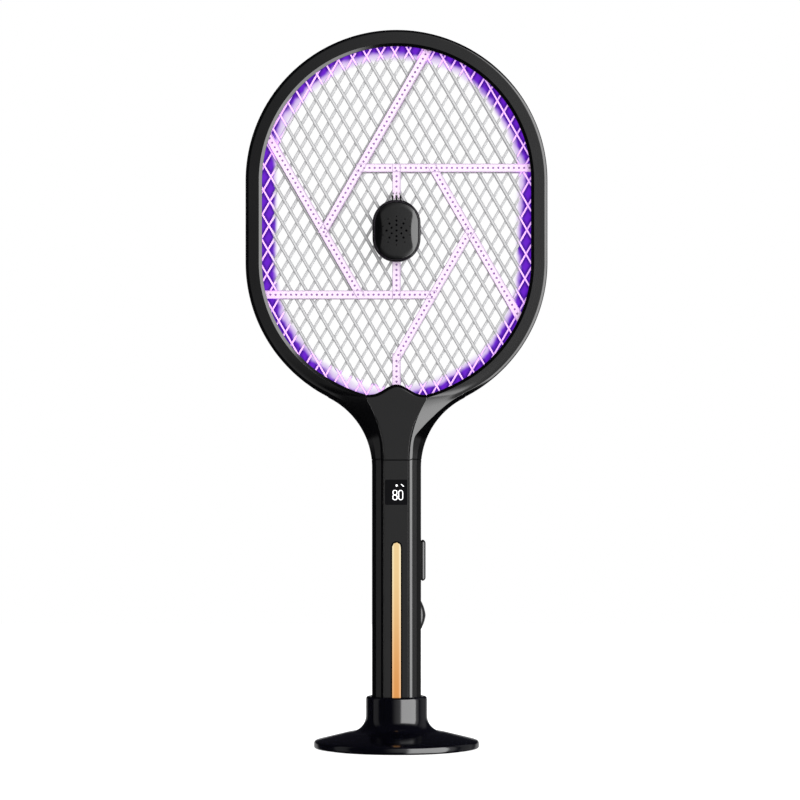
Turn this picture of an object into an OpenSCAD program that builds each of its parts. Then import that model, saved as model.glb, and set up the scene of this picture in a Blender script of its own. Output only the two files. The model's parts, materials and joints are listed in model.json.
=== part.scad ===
// Electric fly swatter standing in its charging dock.
// Origin: centre of the dock's footprint on the floor. +Z is up and the front faces -Y.

/* [Head] */
// Outside radius of the head's round ends
head_r = 108.7; // [95:0.1:135]
// Distance between the centres of the two round ends
head_straight = 58.5; // [45:0.5:75]
// Depth of the head from front to back
head_depth = 28; // [24:0.5:36]
// Width of the frame's face
face_w = 11.5; // [9.5:0.1:15]
// Wall of the frame's outer rim
rim_wall = 3; // [2:0.1:4]
// Thickness of the frame's face plates
plate_t = 2.4; // [1.8:0.1:3]
// Width of the lip that clamps the nets
lip_w = 2.4; // [1.6:0.1:3]
// Height of the tab that rises from the neck into the opening
tab_h = 9.7; // [4:0.1:12]

/* [Neck] */
// Radius of the concave sweep from the handle to the head
sweep_r = 56; // [45:0.5:70]
// Height of the seam above the sweep's lowest point
seam_rise = 5.7; // [3:0.1:8]
// Radius at which the raised centre panel widens
panel_sweep_r = 85; // [75:1:120]

/* [Handle] */
// Width of the handle
handle_w = 35.2; // [32:0.1:44]
// Depth of the handle from front to back
handle_d = 33; // [31:0.1:42]
// Length of the handle below the seam
handle_len = 194; // [185:1:240]
// Width of the flat centre panel
panel_w = 17.4; // [15:0.1:20]
// Wall of the handle shells
shell_wall = 2.2; // [1.6:0.1:2.6]

/* [Nets] */
// Width of a net strip
strip_w = 2.4; // [1.2:0.1:3]
// Thickness of one net, two crossing layers together
net_t = 1.2; // [0.8:0.1:1.6]
// Spacing of the strips that rise to the right
rise_pitch = 8.1; // [7:0.05:12]
// Spacing of the strips that fall to the right
fall_pitch = 9.35; // [7:0.05:12]
// Slope of the strips
strip_slope = 60; // [50:1:65]
// Width of a support rib
rib_w = 6; // [4:0.1:8]
// Thickness of a support rib
rib_t = 1.8; // [1.4:0.1:2.4]
// Distance of each rib's line from the middle of the pattern
rib_reach = 45.5; // [38:0.5:52]
// How far the middle of the pattern lies below the middle of the head
pattern_drop = 6.8; // [0:0.1:12]
// Width of the ultraviolet light ring inside the frame's edge
glow_w = 12; // [6:0.1:14]

/* [Lure pod] */
// Width of the pod
pod_w = 34.5; // [28:0.5:42]
// Height of the pod
pod_h = 44.5; // [38:0.5:54]
// Radius of the pod's corners
pod_corner = 17; // [8:0.5:17]
// Depth of the pod's tray
tray_d = 5; // [4:0.1:8]
// Depth of the pod's lid
lid_d = 6.6; // [5:0.1:10]
// Wall of the pod
pod_wall = 1.6; // [1.2:0.1:2]
// Radius of a scent hole
scent_r = 0.7; // [0.4:0.05:1]

/* [Controls] */
// Height of the button's middle above the handle's foot
button_up = 121.7; // [110:0.1:135]
// Length of the button
button_len = 29.5; // [18:0.5:32]
// Thickness of the button
button_t = 9; // [6:0.1:10]
// How far the button and the knob stand out
control_out = 3.3; // [2:0.1:5]
// Travel of the button
button_travel = 1.2; // [0.6:0.1:1.5]
// Height of the slide knob's middle above the handle's foot
knob_up = 82.2; // [80:0.1:88]
// Length of the slide knob
knob_len = 21.6; // [19:0.1:26]
// Travel of the slide knob each way
knob_travel = 3; // [1:0.1:3.5]

/* [Display and light strip] */
// Width of the display window
window_w = 16.4; // [12:0.1:17]
// Height of the display window
window_h = 18; // [12:0.1:20]
// Height of the display's middle above the handle's foot
window_up = 171; // [165:0.5:172]
// Width of the light strip
light_w = 6.1; // [4:0.1:8]
// Height of the light strip's lower end above the handle's foot
light_foot = 14; // [8:0.5:30]
// Length of the light strip
light_len = 121; // [90:0.5:130]

/* [Power] */
// Radius of the battery cell
cell_r = 9.1; // [8:0.1:9.2]
// Length of the battery cell
cell_len = 64; // [50:1:65]

/* [Dock] */
// Radius of the dock's rim
dock_r = 60; // [52:0.5:75]
// Height of the dock's rim
dock_rim_h = 4.6; // [4:0.1:7]
// Rise of the dock's disc from the rim to the collar's foot
dock_rise = 7.6; // [6:0.1:12]
// Radius of the collar
collar_r = 22; // [21.6:0.1:30]
// Height of the collar's top
collar_top = 38; // [30:0.5:50]
// Height of the socket's floor
socket_floor = 13.7; // [13:0.1:20]
// Wall of the dock's shell
dock_wall = 2.4; // [2:0.1:3]

/* [Fits] */
// Gap between the handle and its socket
socket_gap = 0.3; // [0.2:0.05:0.6]
// Gap around each moving control
slide_gap = 0.25; // [0.15:0.05:0.4]
// Radial clearance of a pin in its bore
pin_gap = 0.06; // [0.03:0.01:0.1]

/* [Hidden] */
$fn = 96;
eps = 0.01;
huge = 400;

// heights that everything else is set from
foot_z = socket_floor + socket_gap;
seam_z = foot_z + handle_len;
sweep_z = seam_z - seam_rise;
sweep_x = handle_w / 2 + sweep_r;
low_z = sweep_z + sqrt(pow(head_r + sweep_r, 2) - sweep_x * sweep_x);
high_z = low_z + head_straight;
join_z = low_z + (sweep_z - low_z) * head_r / (head_r + sweep_r);
pattern_z = (low_z + high_z) / 2 - pattern_drop;

// radii across the frame, from the opening outwards
open_r = head_r - face_w;
lip_r = open_r + lip_w;
boss_r = 2.2;
boss_at = head_r - rim_wall - boss_r + 0.7;
stack_r = boss_at - boss_r - 0.4;

// depths through the head, as distances from its middle plane
face_y = head_depth / 2;
rib_y = 9;
rib_in = rib_y - rib_t;
net_in = rib_in - net_t;
glow_t = 1.8;
glow_in = net_in - glow_t;
uv_board_t = 1;
uv_board_in = glow_in - uv_board_t;
hv_half = net_t / 2;

// middle of the neck's tab, and the pod
tab_z = low_z - open_r;
tab_foot = 21;
tab_dip = 2.3;
tab_curve = 1.35;
pod_top = pattern_z + pod_h / 2;
knuckle_r = 1.6;
pod_axis_z = pod_top + knuckle_r + 0.25;
lid_gap = 0.3;
tray_face = rib_y + tray_d;
pod_axis_y = -(tray_face + lid_gap / 2);
pod_pin_r = 0.6;
lid_step = 1.5;

// insides of the handle
cav_w = handle_w / 2 - shell_wall;
cav_d = handle_d / 2 - shell_wall;
side_flat = 8;
board_y = 2.6;
board_t = 1.6;
board_z0 = foot_z + 82;
board_z1 = seam_z - 14;
button_z = foot_z + button_up;
knob_z = foot_z + knob_up;
window_z = foot_z + window_up;
light_z = foot_z + light_foot;
cap_t = 3;
spigot_len = 12;
spigot_t = 1.5;
spigot_gap = 0.12;
screw_x = 9;
screw_lo = foot_z + 71.4;
screw_hi = seam_z - spigot_len / 2;
screw_r = 1.2;
screw_head_r = 2.3;
post_r = 2.8;
wall_in = handle_w / 2 - shell_wall;
flange_t = 1.2;
flange_x = wall_in - flange_t - 0.1;
plunger_r = 1.6;
switch_x = 5;
knob_neck = knob_len / 2 - 2;

// insides of the dock
base_t = 2;
base_z = 0.8;
base_top = base_z + base_t;
dock_board_t = 1;
pin_x = 5;
pin_r = 1;
barrel_r = 1.8;
floor_t = 2.5;
pin_recess = 1.6;
pin_tip = foot_z + pin_recess - 0.1;
pin_travel = 1.2;
dock_screw_at = 19.5;
inlet_w = 9;
inlet_h = 3.2;
inlet_len = 9;
inlet_z = 3.6;
inlet_y1 = dock_r - 0.9;

// ---- shared shapes ----

// Stretches a drawing of the front view over the depths y0 to y1
module flat(y0, y1) {
    translate([0, y1, 0]) rotate([90, 0, 0]) linear_extrude(y1 - y0) children();
}

// The same drawing on the front (side -1) or the rear (side 1), from depth a to depth b
module layer(side, a, b) {
    if (side < 0) flat(-b, -a) children();
    else flat(a, b) children();
}

// Outline of the head at radius r
module head_shape(r) {
    translate([0, high_z]) circle(r);
    translate([0, low_z]) circle(r);
    translate([-r, low_z]) square([2 * r, head_straight]);
}

module head_ring(r_in, r_out) {
    difference() {
        head_shape(r_out);
        head_shape(r_in);
    }
}

module rounded(w, h, r) {
    square([w - 2 * r, h], center = true);
    square([w, h - 2 * r], center = true);
    for (x = [-1, 1], y = [-1, 1])
        translate([x * (w / 2 - r), y * (h / 2 - r)]) circle(r);
}

// Rod along Y, from depth y0 to depth y1
module rod_y(x, z, r, y0, y1) {
    translate([x, y1, z]) rotate([90, 0, 0]) cylinder(r = r, h = y1 - y0);
}

// Rod along X, from x0 to x1
module rod_x(y, z, r, x0, x1) {
    translate([x0, y, z]) rotate([0, 90, 0]) cylinder(r = r, h = x1 - x0);
}

// Front half of the grip's section: half width w, half depth d, half panel width p
function half_section(w, d, p) = [
    [-w, 0], [-w, side_flat - d], [-(p + 2 * w) / 3, 3.2 - d], [-(2 * p + w) / 3, 0.9 - d],
    [-p, -d], [p, -d], [(2 * p + w) / 3, 0.9 - d], [(p + 2 * w) / 3, 3.2 - d],
    [w, side_flat - d], [w, 0]];

module half_grip(inset) {
    polygon(half_section(handle_w / 2 - inset, handle_d / 2 - inset, panel_w / 2 - inset / 2));
}

module full_grip(inset) {
    front = half_section(handle_w / 2 - inset, handle_d / 2 - inset, panel_w / 2 - inset / 2);
    polygon(concat(front, [for (i = [8:-1:1]) [front[i][0], -front[i][1]]]));
}

// Front half of a wall round the grip, open along the middle plane
module grip_wall(inset, t) {
    difference() {
        half_grip(inset);
        half_grip(inset + t);
        translate([-huge / 2, -eps]) square([huge, 1]);
    }
}

// Sweep of the neck: half width, half depth and half panel width at height z
function neck_w(z) = sweep_x - sqrt(sweep_r * sweep_r - pow(z - sweep_z, 2));
function neck_p(z) = panel_w / 2 + panel_sweep_r
    - sqrt(panel_sweep_r * panel_sweep_r - pow(max(z, seam_z) - seam_z, 2));
function neck_d(z) = handle_d / 2
    + (face_y + 0.3 - handle_d / 2) * max(z - seam_z, 0) / (join_z - seam_z);

module neck_loft(inset, z0, z1) {
    steps = 9;
    count = 10;
    rings = [for (i = [0:steps]) let (z = z0 + (z1 - z0) * i / steps)
        [for (q = half_section(neck_w(z) - inset, neck_d(z) - inset, neck_p(z) - inset / 2))
            [q[0], q[1], z]]];
    points = [for (ring = rings) each ring];
    sides = [for (i = [0:steps - 1], j = [0:count - 1]) let (
            a = i * count + j, b = i * count + (j + 1) % count)
        each [[a, a + count, b + count], [a, b + count, b]]];
    foot = [for (j = [0:count - 1]) j];
    crown = [for (j = [count - 1:-1:0]) steps * count + j];
    polyhedron(points, concat(sides, [foot, crown]));
}

// ---- head ----

// Screw places round the frame: centre height and angle
screw_spots = [[high_z, 18], [high_z, 90], [high_z, 162],
    [low_z, 198], [low_z, 238], [low_z, 302], [low_z, 342]];

module at_frame_screws() {
    for (s = screw_spots)
        translate([boss_at * cos(s[1]), 0, s[0] + boss_at * sin(s[1])]) children();
}

// The tab's edge is a smooth bell between two dips
function tab_edge(x) = tab_dip
    + (tab_h - tab_dip) * pow((1 + cos(180 * x / tab_foot)) / 2, tab_curve);

module tab_shape() {
    translate([0, tab_z]) polygon(concat([[-tab_foot, -2]],
        [for (i = [-10:10]) [tab_foot * i / 10, tab_edge(tab_foot * i / 10)]],
        [[tab_foot, -2]]));
}

module frame_half(side) {
    turn = side < 0 ? 0 : 1;
    difference() {
        union() {
            layer(side, face_y - plate_t, face_y) head_ring(open_r, head_r);
            layer(side, 0, face_y) head_ring(head_r - rim_wall, head_r);
            layer(side, rib_y, face_y) head_ring(open_r, lip_r);
            layer(side, rib_y, face_y) tab_shape();
            difference() {
                mirror([0, turn, 0]) neck_loft(0, seam_z, join_z);
                layer(side, -1, rib_y) head_shape(stack_r + 0.2);
            }
            at_frame_screws() mirror([0, turn, 0]) rod_y(0, 0, boss_r, -face_y + 1, 0);
        }
        mirror([0, turn, 0]) neck_loft(shell_wall, seam_z - 2, tab_z - 3);
        if (side < 0) at_frame_screws() rod_y(0, 0, 0.95, -rib_y, 1);
        if (side > 0) at_frame_screws() rod_y(0, 0, 1.1, -1, huge);
        if (side > 0) at_frame_screws() rod_y(0, 0, 1.9, face_y - 1.6, huge);
    }
    // spigot that the handle shells close round, with its flange above the seam
    difference() {
        mirror([0, turn, 0]) {
            translate([0, 0, seam_z - spigot_len]) linear_extrude(spigot_len + spigot_t)
                grip_wall(shell_wall + spigot_gap, spigot_t);
            translate([0, 0, seam_z]) linear_extrude(spigot_t)
                grip_wall(shell_wall / 2, shell_wall / 2 + spigot_gap + spigot_t);
        }
        for (x = [-screw_x, screw_x]) rod_y(x, screw_hi, post_r + 0.15, -huge / 2, huge / 2);
    }
}

module front_frame() { color([0.13, 0.13, 0.13]) frame_half(-1); }
module rear_frame() { color([0.12, 0.12, 0.12]) frame_half(1); }

// Six ribs, each along one side of a hexagon and on past it to the frame
module rib_shape() {
    side = 2 * rib_reach / sqrt(3);
    intersection() {
        head_shape(stack_r);
        union() {
            translate([0, pattern_z]) for (k = [0:5]) rotate(60 * k)
                translate([-side / 2, rib_reach - rib_w / 2])
                    square([k == 4 ? 2 * side : huge, rib_w]);
            translate([-rib_w / 2, tab_z]) square([rib_w, pattern_z - side * sqrt(3) - tab_z]);
            translate([-rib_w / 2, pattern_z - rib_reach]) square([rib_w, 2 * rib_reach]);
        }
    }
    head_ring(open_r, stack_r);
    translate([0, pattern_z]) rounded(pod_w - 2, pod_h - 2, pod_corner - 1);
}

module front_ribs() { color([0.93, 0.86, 0.95]) layer(-1, rib_in, rib_y) rib_shape(); }
module rear_ribs() { color([0.93, 0.86, 0.95]) layer(1, rib_in, rib_y) rib_shape(); }

// Parallel strips at a slope, their lines spaced by pitch and shifted by phase
module strips(slope, pitch, phase) {
    reach = head_r + head_straight;
    count = ceil(reach / pitch);
    intersection() {
        head_shape(lip_r);
        translate([0, pattern_z]) rotate(slope) for (i = [-count:count])
            translate([-huge / 2, i * pitch + phase - strip_w / 2]) square([huge, strip_w]);
    }
}

module net(side) {
    layer(side, net_in, net_in + net_t / 2) strips(strip_slope, rise_pitch, 0.45);
    layer(side, net_in + net_t / 2, rib_in) strips(-strip_slope, fall_pitch, -2.5);
    layer(side, net_in, rib_in) head_ring(lip_r, stack_r);
}

module front_net() { color([0.8, 0.8, 0.82]) net(-1); }
module rear_net() { color([0.8, 0.8, 0.82]) net(1); }

module hv_net() {
    color([0.75, 0.75, 0.78]) {
        flat(-hv_half, hv_half) strips(-strip_slope, fall_pitch, -2.5);
        flat(-hv_half, hv_half) head_ring(lip_r, stack_r);
        // tabs that the leads are soldered to
        for (x = [-pin_x, pin_x]) translate([x - 1.5, -hv_half, low_z - stack_r - 8])
            cube([3, net_t, 8 + stack_r - lip_r]);
    }
}

module uv_ring() {
    color([0.45, 0.2, 0.85]) layer(-1, glow_in, net_in) head_ring(open_r - glow_w, stack_r);
}

module uv_diode(z, a) {
    translate([open_r * cos(a), -glow_in, z + open_r * sin(a)]) rotate([0, -a, 0])
        translate([-1.4, 0, -1.75]) cube([2.8, uv_board_t, 3.5]);
}

module uv_board() {
    color([0.9, 0.9, 0.9]) {
        layer(-1, uv_board_in, glow_in) head_ring(open_r, stack_r);
        // light-emitting diodes round the board's inner edge
        for (a = [0:20:180]) uv_diode(high_z, a);
        for (a = [200:20:340]) uv_diode(low_z, a);
    }
}

module front_insulator() {
    color([0.85, 0.85, 0.8]) layer(-1, hv_half, uv_board_in) head_ring(lip_r, stack_r);
}

module rear_insulator() {
    color([0.85, 0.85, 0.8]) layer(1, hv_half, net_in) head_ring(lip_r, stack_r);
}

module hv_leads() {
    color([0.8, 0.1, 0.1]) for (x = [-pin_x, pin_x])
        translate([x, hv_half + 1, board_z1 - 6])
            cylinder(r = 1, h = low_z - stack_r - 2 - board_z1 + 6);
}

module frame_screws() {
    color([0.5, 0.5, 0.52]) at_frame_screws() {
        rod_y(0, 0, 0.9, -rib_y + 1, face_y - 1.6);
        rod_y(0, 0, 1.7, face_y - 1.6, face_y - 0.4);
    }
}

// ---- lure pod ----

module pod_outline(inset) {
    translate([0, pattern_z]) rounded(pod_w - 2 * inset, pod_h - 2 * inset, pod_corner - inset);
}

module pod_tray() {
    color([0.1, 0.1, 0.1]) difference() {
        union() {
            layer(-1, rib_y, tray_face) pod_outline(0);
            rod_x(pod_axis_y, pod_axis_z, knuckle_r, -1.3, 1.3);
            translate([-1.3, pod_axis_y, pod_top - 1]) cube([2.6, tray_d, 1 + knuckle_r + 0.25]);
        }
        layer(-1, rib_y + pod_wall, huge) pod_outline(pod_wall);
        rod_x(pod_axis_y, pod_axis_z, pod_pin_r, -5, 5);
    }
}

module lure_tablet() {
    color([0.85, 0.9, 0.8]) layer(-1, rib_y + pod_wall, tray_face - 0.4)
        translate([0, pattern_z]) rounded(pod_w - 9, pod_h - 11, pod_corner - 6);
}

module pod_hinge_pin() {
    color([0.6, 0.6, 0.6]) rod_x(pod_axis_y, pod_axis_z, pod_pin_r, -3.6, 3.6);
}

module pod_lid() {
    back = tray_face + lid_gap;
    front = back + lid_d;
    color([0.1, 0.1, 0.1]) difference() {
        union() {
            layer(-1, back, front - lid_step) pod_outline(0);
            layer(-1, back, front) pod_outline(lid_step);
            for (m = [0, 1]) mirror([m, 0, 0]) {
                rod_x(pod_axis_y, pod_axis_z, knuckle_r, 1.5, 3.6);
                translate([1.5, -back - 3, pod_top - 1]) cube([2.1, 3, 1 + knuckle_r + 0.25]);
            }
        }
        layer(-1, 0, front - pod_wall - lid_step) pod_outline(pod_wall);
        layer(-1, 0, front - pod_wall) pod_outline(pod_wall + lid_step);
        rod_x(pod_axis_y, pod_axis_z, pod_pin_r + pin_gap, -5, 5);
        translate([0, 0, pattern_z]) {
            rod_y(0, 0, scent_r, -huge, 0);
            for (k = [0:5]) rotate([0, 60 * k + 30, 0]) rod_y(4, 0, scent_r, -huge, 0);
            for (k = [0:7]) rotate([0, 45 * k, 0]) rod_y(7.4, 0, scent_r, -huge, 0);
        }
    }
}

// ---- handle ----

module side_window(z, len, thick) {
    translate([wall_in - 2, -thick / 2, z - len / 2]) cube([shell_wall + 4, thick, len]);
}

module handle_half(turn) {
    mirror([0, turn, 0]) difference() {
        union() {
            translate([0, 0, foot_z]) linear_extrude(handle_len) grip_wall(0, shell_wall);
            for (x = [-screw_x, screw_x], z = [screw_lo, screw_hi])
                rod_y(x, z, post_r, -cav_d - 1, -eps);
        }
        side_window(button_z, button_len + 2 * slide_gap, button_t + 2 * slide_gap);
        side_window(knob_z, knob_neck + 2 * knob_travel + 2 * slide_gap, 5 + 2 * slide_gap);
    }
}

module front_shell() {
    color([0.13, 0.13, 0.13]) difference() {
        handle_half(0);
        flat(-huge, -cav_d + 1) window_shape(window_w - 3, window_h - 3);
        flat(-huge, -cav_d - 1) window_shape(window_w, window_h);
        flat(-huge, -cav_d + 1) light_outline();
        for (x = [-screw_x, screw_x], z = [screw_lo, screw_hi])
            rod_y(x, z, screw_r + 0.05, -cav_d + 1, 1);
    }
}

module rear_shell() {
    color([0.12, 0.12, 0.12]) difference() {
        handle_half(1);
        for (x = [-screw_x, screw_x], z = [screw_lo, screw_hi]) {
            rod_y(x, z, screw_r + 0.1, -1, huge);
            rod_y(x, z, screw_head_r + 0.1, cav_d - 0.6, huge);
        }
    }
}

module end_cap() {
    color([0.1, 0.1, 0.1]) difference() {
        translate([0, 0, foot_z]) linear_extrude(cap_t) full_grip(shell_wall);
        for (x = [-pin_x, pin_x]) translate([x, 0, foot_z - 1]) cylinder(r = 2.4, h = cap_t + 2);
    }
}

module contact_plates() {
    color([0.85, 0.65, 0.25]) for (x = [-pin_x, pin_x])
        translate([x, 0, foot_z + pin_recess]) cylinder(r = 2.4, h = cap_t - pin_recess);
}

module battery_cell() {
    color([0.2, 0.4, 0.7]) translate([0, 2, foot_z + cap_t]) {
        cylinder(r = cell_r, h = cell_len);
        translate([0, 0, cell_len]) cylinder(r = 3, h = 1);
    }
}

module main_board() {
    color([0.1, 0.35, 0.2]) difference() {
        translate([-12, board_y, board_z0]) cube([24, board_t, board_z1 - board_z0]);
        for (x = [-screw_x, screw_x]) rod_y(x, screw_lo, post_r + 0.3, 0, huge);
    }
}

module transformer() {
    color([0.7, 0.6, 0.3]) translate([-8, board_y + board_t, window_z - 33]) cube([16, 8, 20]);
}

module hv_capacitor() {
    color([0.75, 0.45, 0.15]) translate([-9, board_y + board_t, window_z - 9])
        cube([18, 7, 16]);
}

module button_switch() {
    color([0.2, 0.2, 0.2]) difference() {
        translate([switch_x, board_y - 6, button_z - 4]) cube([6, 6, 8]);
        rod_x(0, button_z, plunger_r + pin_gap, switch_x + 2, switch_x + 8);
    }
}

module slide_switch() {
    slot = 3 + 2 * knob_travel + 2 * slide_gap;
    color([0.6, 0.6, 0.62]) difference() {
        translate([switch_x, board_y - 6, knob_z - 7.5]) cube([6, 6, 15]);
        translate([switch_x + 2, -1 - slide_gap, knob_z - slot / 2]) cube([6, 2 + 2 * slide_gap, slot]);
    }
}

module window_shape(w, h) {
    translate([0, window_z]) square([w, h], center = true);
}

module display_window() {
    color([0.02, 0.02, 0.02]) flat(-handle_d / 2, -cav_d - 1) window_shape(window_w, window_h);
}

module display_module() {
    color([0.9, 0.9, 0.9]) {
        flat(-cav_d - 1, -cav_d) window_shape(window_w - 3, window_h - 3);
        flat(-cav_d, -cav_d + 4) window_shape(window_w - 2, window_h - 2);
    }
}

module light_outline() {
    translate([-light_w / 2, light_z]) square([light_w, light_len - light_w / 2]);
    translate([0, light_z + light_len - light_w / 2]) circle(light_w / 2);
}

module light_strip() {
    color([1, 0.8, 0.5]) {
        flat(-handle_d / 2, -cav_d) light_outline();
        flat(-cav_d, -cav_d + 1) translate([-light_w / 2 - 1.5, light_z]) square([light_w + 3, light_len]);
    }
}

module light_board() {
    color([0.9, 0.9, 0.85]) flat(-cav_d + 1, -cav_d + 2)
        translate([-light_w / 2 - 1.5, light_z]) square([light_w + 3, light_len]);
}

module handle_screws() {
    color([0.5, 0.5, 0.52]) for (x = [-screw_x, screw_x], z = [screw_lo, screw_hi]) {
        rod_y(x, z, screw_r, -cav_d + 2, cav_d - 0.6);
        rod_y(x, z, screw_head_r, cav_d - 0.6, cav_d + 0.9);
    }
}

// ---- controls ----

module zap_button() {
    out = handle_w / 2 + control_out;
    color([0.1, 0.1, 0.1]) {
        translate([flange_x + flange_t, 0, button_z]) rotate([0, 90, 0])
            linear_extrude(out - flange_x - flange_t) rounded(button_len, button_t, 2);
        translate([flange_x, -button_t / 2 - 1, button_z - button_len / 2 - 1.5])
            cube([flange_t, button_t + 2, button_len + 3]);
    }
}

module button_plunger() {
    color([0.8, 0.8, 0.8]) rod_x(0, button_z, plunger_r, switch_x + 2 + button_travel + 0.2, flange_x);
}

module mode_knob() {
    x0 = handle_w / 2 + slide_gap;
    out = handle_w / 2 + control_out;
    neck = knob_neck;
    color([0.1, 0.1, 0.1]) {
        // peaked cap outside the wall
        translate([0, 4, knob_z]) rotate([90, 0, 0]) linear_extrude(8) polygon([
            [x0, -knob_len / 2], [x0 + 1.2, -knob_len / 2], [out, -1.5], [out, 1.5],
            [x0 + 1.2, knob_len / 2], [x0, knob_len / 2]]);
        translate([wall_in - 0.5, -2.5, knob_z - neck / 2]) cube([x0 - wall_in + 0.5, 5, neck]);
        translate([switch_x + 2.5, -1, knob_z - 1.5]) cube([wall_in - switch_x - 2.9, 2, 3]);
    }
}

// ---- dock ----

// Outside of the dock from the rim to the collar's lip, as radius and height
slope_r = collar_r + 12;
disc_top = dock_rim_h + dock_rise;
cove_r = slope_r - collar_r;
dock_side = concat(
    [[dock_r - 0.8, base_z], [dock_r, base_z + 1], [dock_r, dock_rim_h], [dock_r - 1.2, dock_rim_h + 1.4]],
    [for (a = [0:15:75]) [slope_r - cove_r * sin(a), disc_top + cove_r * (1 - cos(a))]],
    [[collar_r, disc_top + cove_r], [collar_r, collar_top - 1.4], [collar_r - 1.4, collar_top]]);

module dock_outside() {
    rotate_extrude() polygon(concat([[0, base_z]], dock_side, [[0, collar_top]]));
}

module dock_inside() {
    t = dock_wall;
    rotate_extrude() polygon([[0, -1], [dock_r - t, -1], [dock_r - t, dock_rim_h - 1.2],
        [slope_r, disc_top - t - 0.3], [collar_r, socket_floor - floor_t],
        [0, socket_floor - floor_t]]);
}

module at_dock_screws() {
    for (x = [-1, 1], y = [-1, 1]) translate([x * dock_screw_at, y * dock_screw_at, 0]) children();
}

module inlet_outline(gap) {
    rounded(inlet_w + 2 * gap, inlet_h + 2 * gap, inlet_h / 2 + gap - eps);
}

module dock_shell() {
    color([0.07, 0.07, 0.08]) difference() {
        union() {
            difference() {
                dock_outside();
                dock_inside();
            }
            at_dock_screws() translate([0, 0, base_top]) cylinder(r = 3, h = disc_top - base_top - 0.5);
        }
        translate([0, 0, socket_floor]) linear_extrude(collar_top) full_grip(-socket_gap);
        at_dock_screws() translate([0, 0, base_top - 1]) cylinder(r = 1.3, h = 5);
        for (x = [-pin_x, pin_x]) translate([x, 0, 0]) cylinder(r = pin_r + pin_gap, h = collar_top);
        translate([0, 0, inlet_z]) flat(dock_r - inlet_len - 3, dock_r + 2) inlet_outline(0.1);
    }
}

module dock_base_plate() {
    color([0.08, 0.08, 0.08]) difference() {
        translate([0, 0, base_z]) cylinder(r = dock_r - dock_wall - 0.1, h = base_t);
        translate([0, 0, base_z - 1]) rotate_extrude() translate([dock_r - 12, 0]) square([5, 1.8]);
        at_dock_screws() translate([0, 0, -1]) cylinder(r = 1.6, h = 5);
        at_dock_screws() translate([0, 0, -1]) cylinder(r = 2.7, h = 2.8);
        translate([0, 0, inlet_z]) flat(dock_r - inlet_len - 3, dock_r + 2) inlet_outline(0.1);
    }
}

module dock_foot_ring() {
    color([0.15, 0.15, 0.15]) rotate_extrude() translate([dock_r - 12, 0]) square([5, base_z + 0.8]);
}

module ballast_weights() {
    color([0.55, 0.55, 0.57]) difference() {
        translate([0, 0, base_top]) cylinder(r = dock_r - 14, h = 3.2);
        translate([0, 0, 0]) cylinder(r = 17, h = 20);
        translate([-15, -huge / 2, 0]) cube([30, huge, 20]);
        at_dock_screws() cylinder(r = 3.2, h = 20);
    }
}

module dock_board() {
    color([0.1, 0.35, 0.2]) difference() {
        translate([-10, -12, base_top]) cube([20, 12 + dock_r - 7, dock_board_t]);
        translate([0, 0, inlet_z]) flat(inlet_y1 - inlet_len - 0.02, dock_r) inlet_outline(0.02);
    }
}

module charge_inlet() {
    y0 = inlet_y1 - inlet_len;
    color([0.6, 0.6, 0.62]) translate([0, 0, inlet_z]) {
        difference() {
            flat(y0, inlet_y1) inlet_outline(0);
            flat(y0 + 1, inlet_y1 + 1) inlet_outline(-0.35);
        }
        flat(y0 + 1 - eps, inlet_y1 - 1) square([6.4, 0.8], center = true);
    }
}

module pin_barrels() {
    z0 = base_top + dock_board_t;
    z1 = socket_floor - floor_t;
    color([0.8, 0.65, 0.3]) for (x = [-pin_x, pin_x]) translate([x, 0, z0]) difference() {
        cylinder(r = barrel_r, h = z1 - z0);
        translate([0, 0, 0.6]) cylinder(r = barrel_r - 0.4, h = z1);
    }
}

// Coil spring: a round wire swept along a helix
module coil(r, wire, height, turns) {
    around = 14;
    sides = 6;
    steps = turns * around;
    points = [for (i = [0:steps], j = [0:sides - 1]) let (
            a = 360 * i / around, b = 360 * j / sides, q = r + wire * cos(b))
        [q * cos(a), q * sin(a), wire + (height - 2 * wire) * i / steps + wire * sin(b)]];
    skin = [for (i = [0:steps - 1], j = [0:sides - 1]) let (
            a = i * sides + j, b = i * sides + (j + 1) % sides)
        each [[a, b + sides, b], [a, a + sides, b + sides]]];
    start = [for (j = [0:sides - 1]) j];
    finish = [for (j = [sides - 1:-1:0]) steps * sides + j];
    polyhedron(points, concat(skin, [start, finish]));
}

spring_foot = base_top + dock_board_t + 0.6;
pin_foot = socket_floor - floor_t - 1.2;

module pin_springs() {
    color([0.7, 0.7, 0.7]) for (x = [-pin_x, pin_x]) translate([x, 0, spring_foot])
        coil(0.95, 0.18, pin_foot - spring_foot, 6);
}

module charge_pins() {
    color([0.85, 0.7, 0.3]) for (x = [-pin_x, pin_x]) translate([x, 0, pin_foot]) {
        cylinder(r = pin_r, h = pin_tip - pin_foot);
        cylinder(r = barrel_r - 0.4 - pin_gap, h = 0.9);
    }
}

module dock_screws() {
    color([0.5, 0.5, 0.52]) at_dock_screws() {
        translate([0, 0, base_z + 1]) cylinder(r = 1.25, h = 5);
        translate([0, 0, base_z - 0.3]) cylinder(r = 2.5, h = 1.3);
    }
}

dock_shell();
dock_base_plate();
dock_foot_ring();
ballast_weights();
dock_board();
charge_inlet();
pin_barrels();
pin_springs();
dock_screws();
charge_pins();
front_frame();
rear_frame();
front_ribs();
rear_ribs();
front_net();
rear_net();
hv_net();
uv_ring();
uv_board();
front_insulator();
rear_insulator();
hv_leads();
frame_screws();
pod_tray();
lure_tablet();
pod_hinge_pin();
pod_lid();
front_shell();
rear_shell();
end_cap();
contact_plates();
battery_cell();
main_board();
transformer();
hv_capacitor();
button_switch();
slide_switch();
display_window();
display_module();
light_strip();
light_board();
handle_screws();
zap_button();
button_plunger();
mode_knob();
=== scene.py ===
import json
import math

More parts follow.
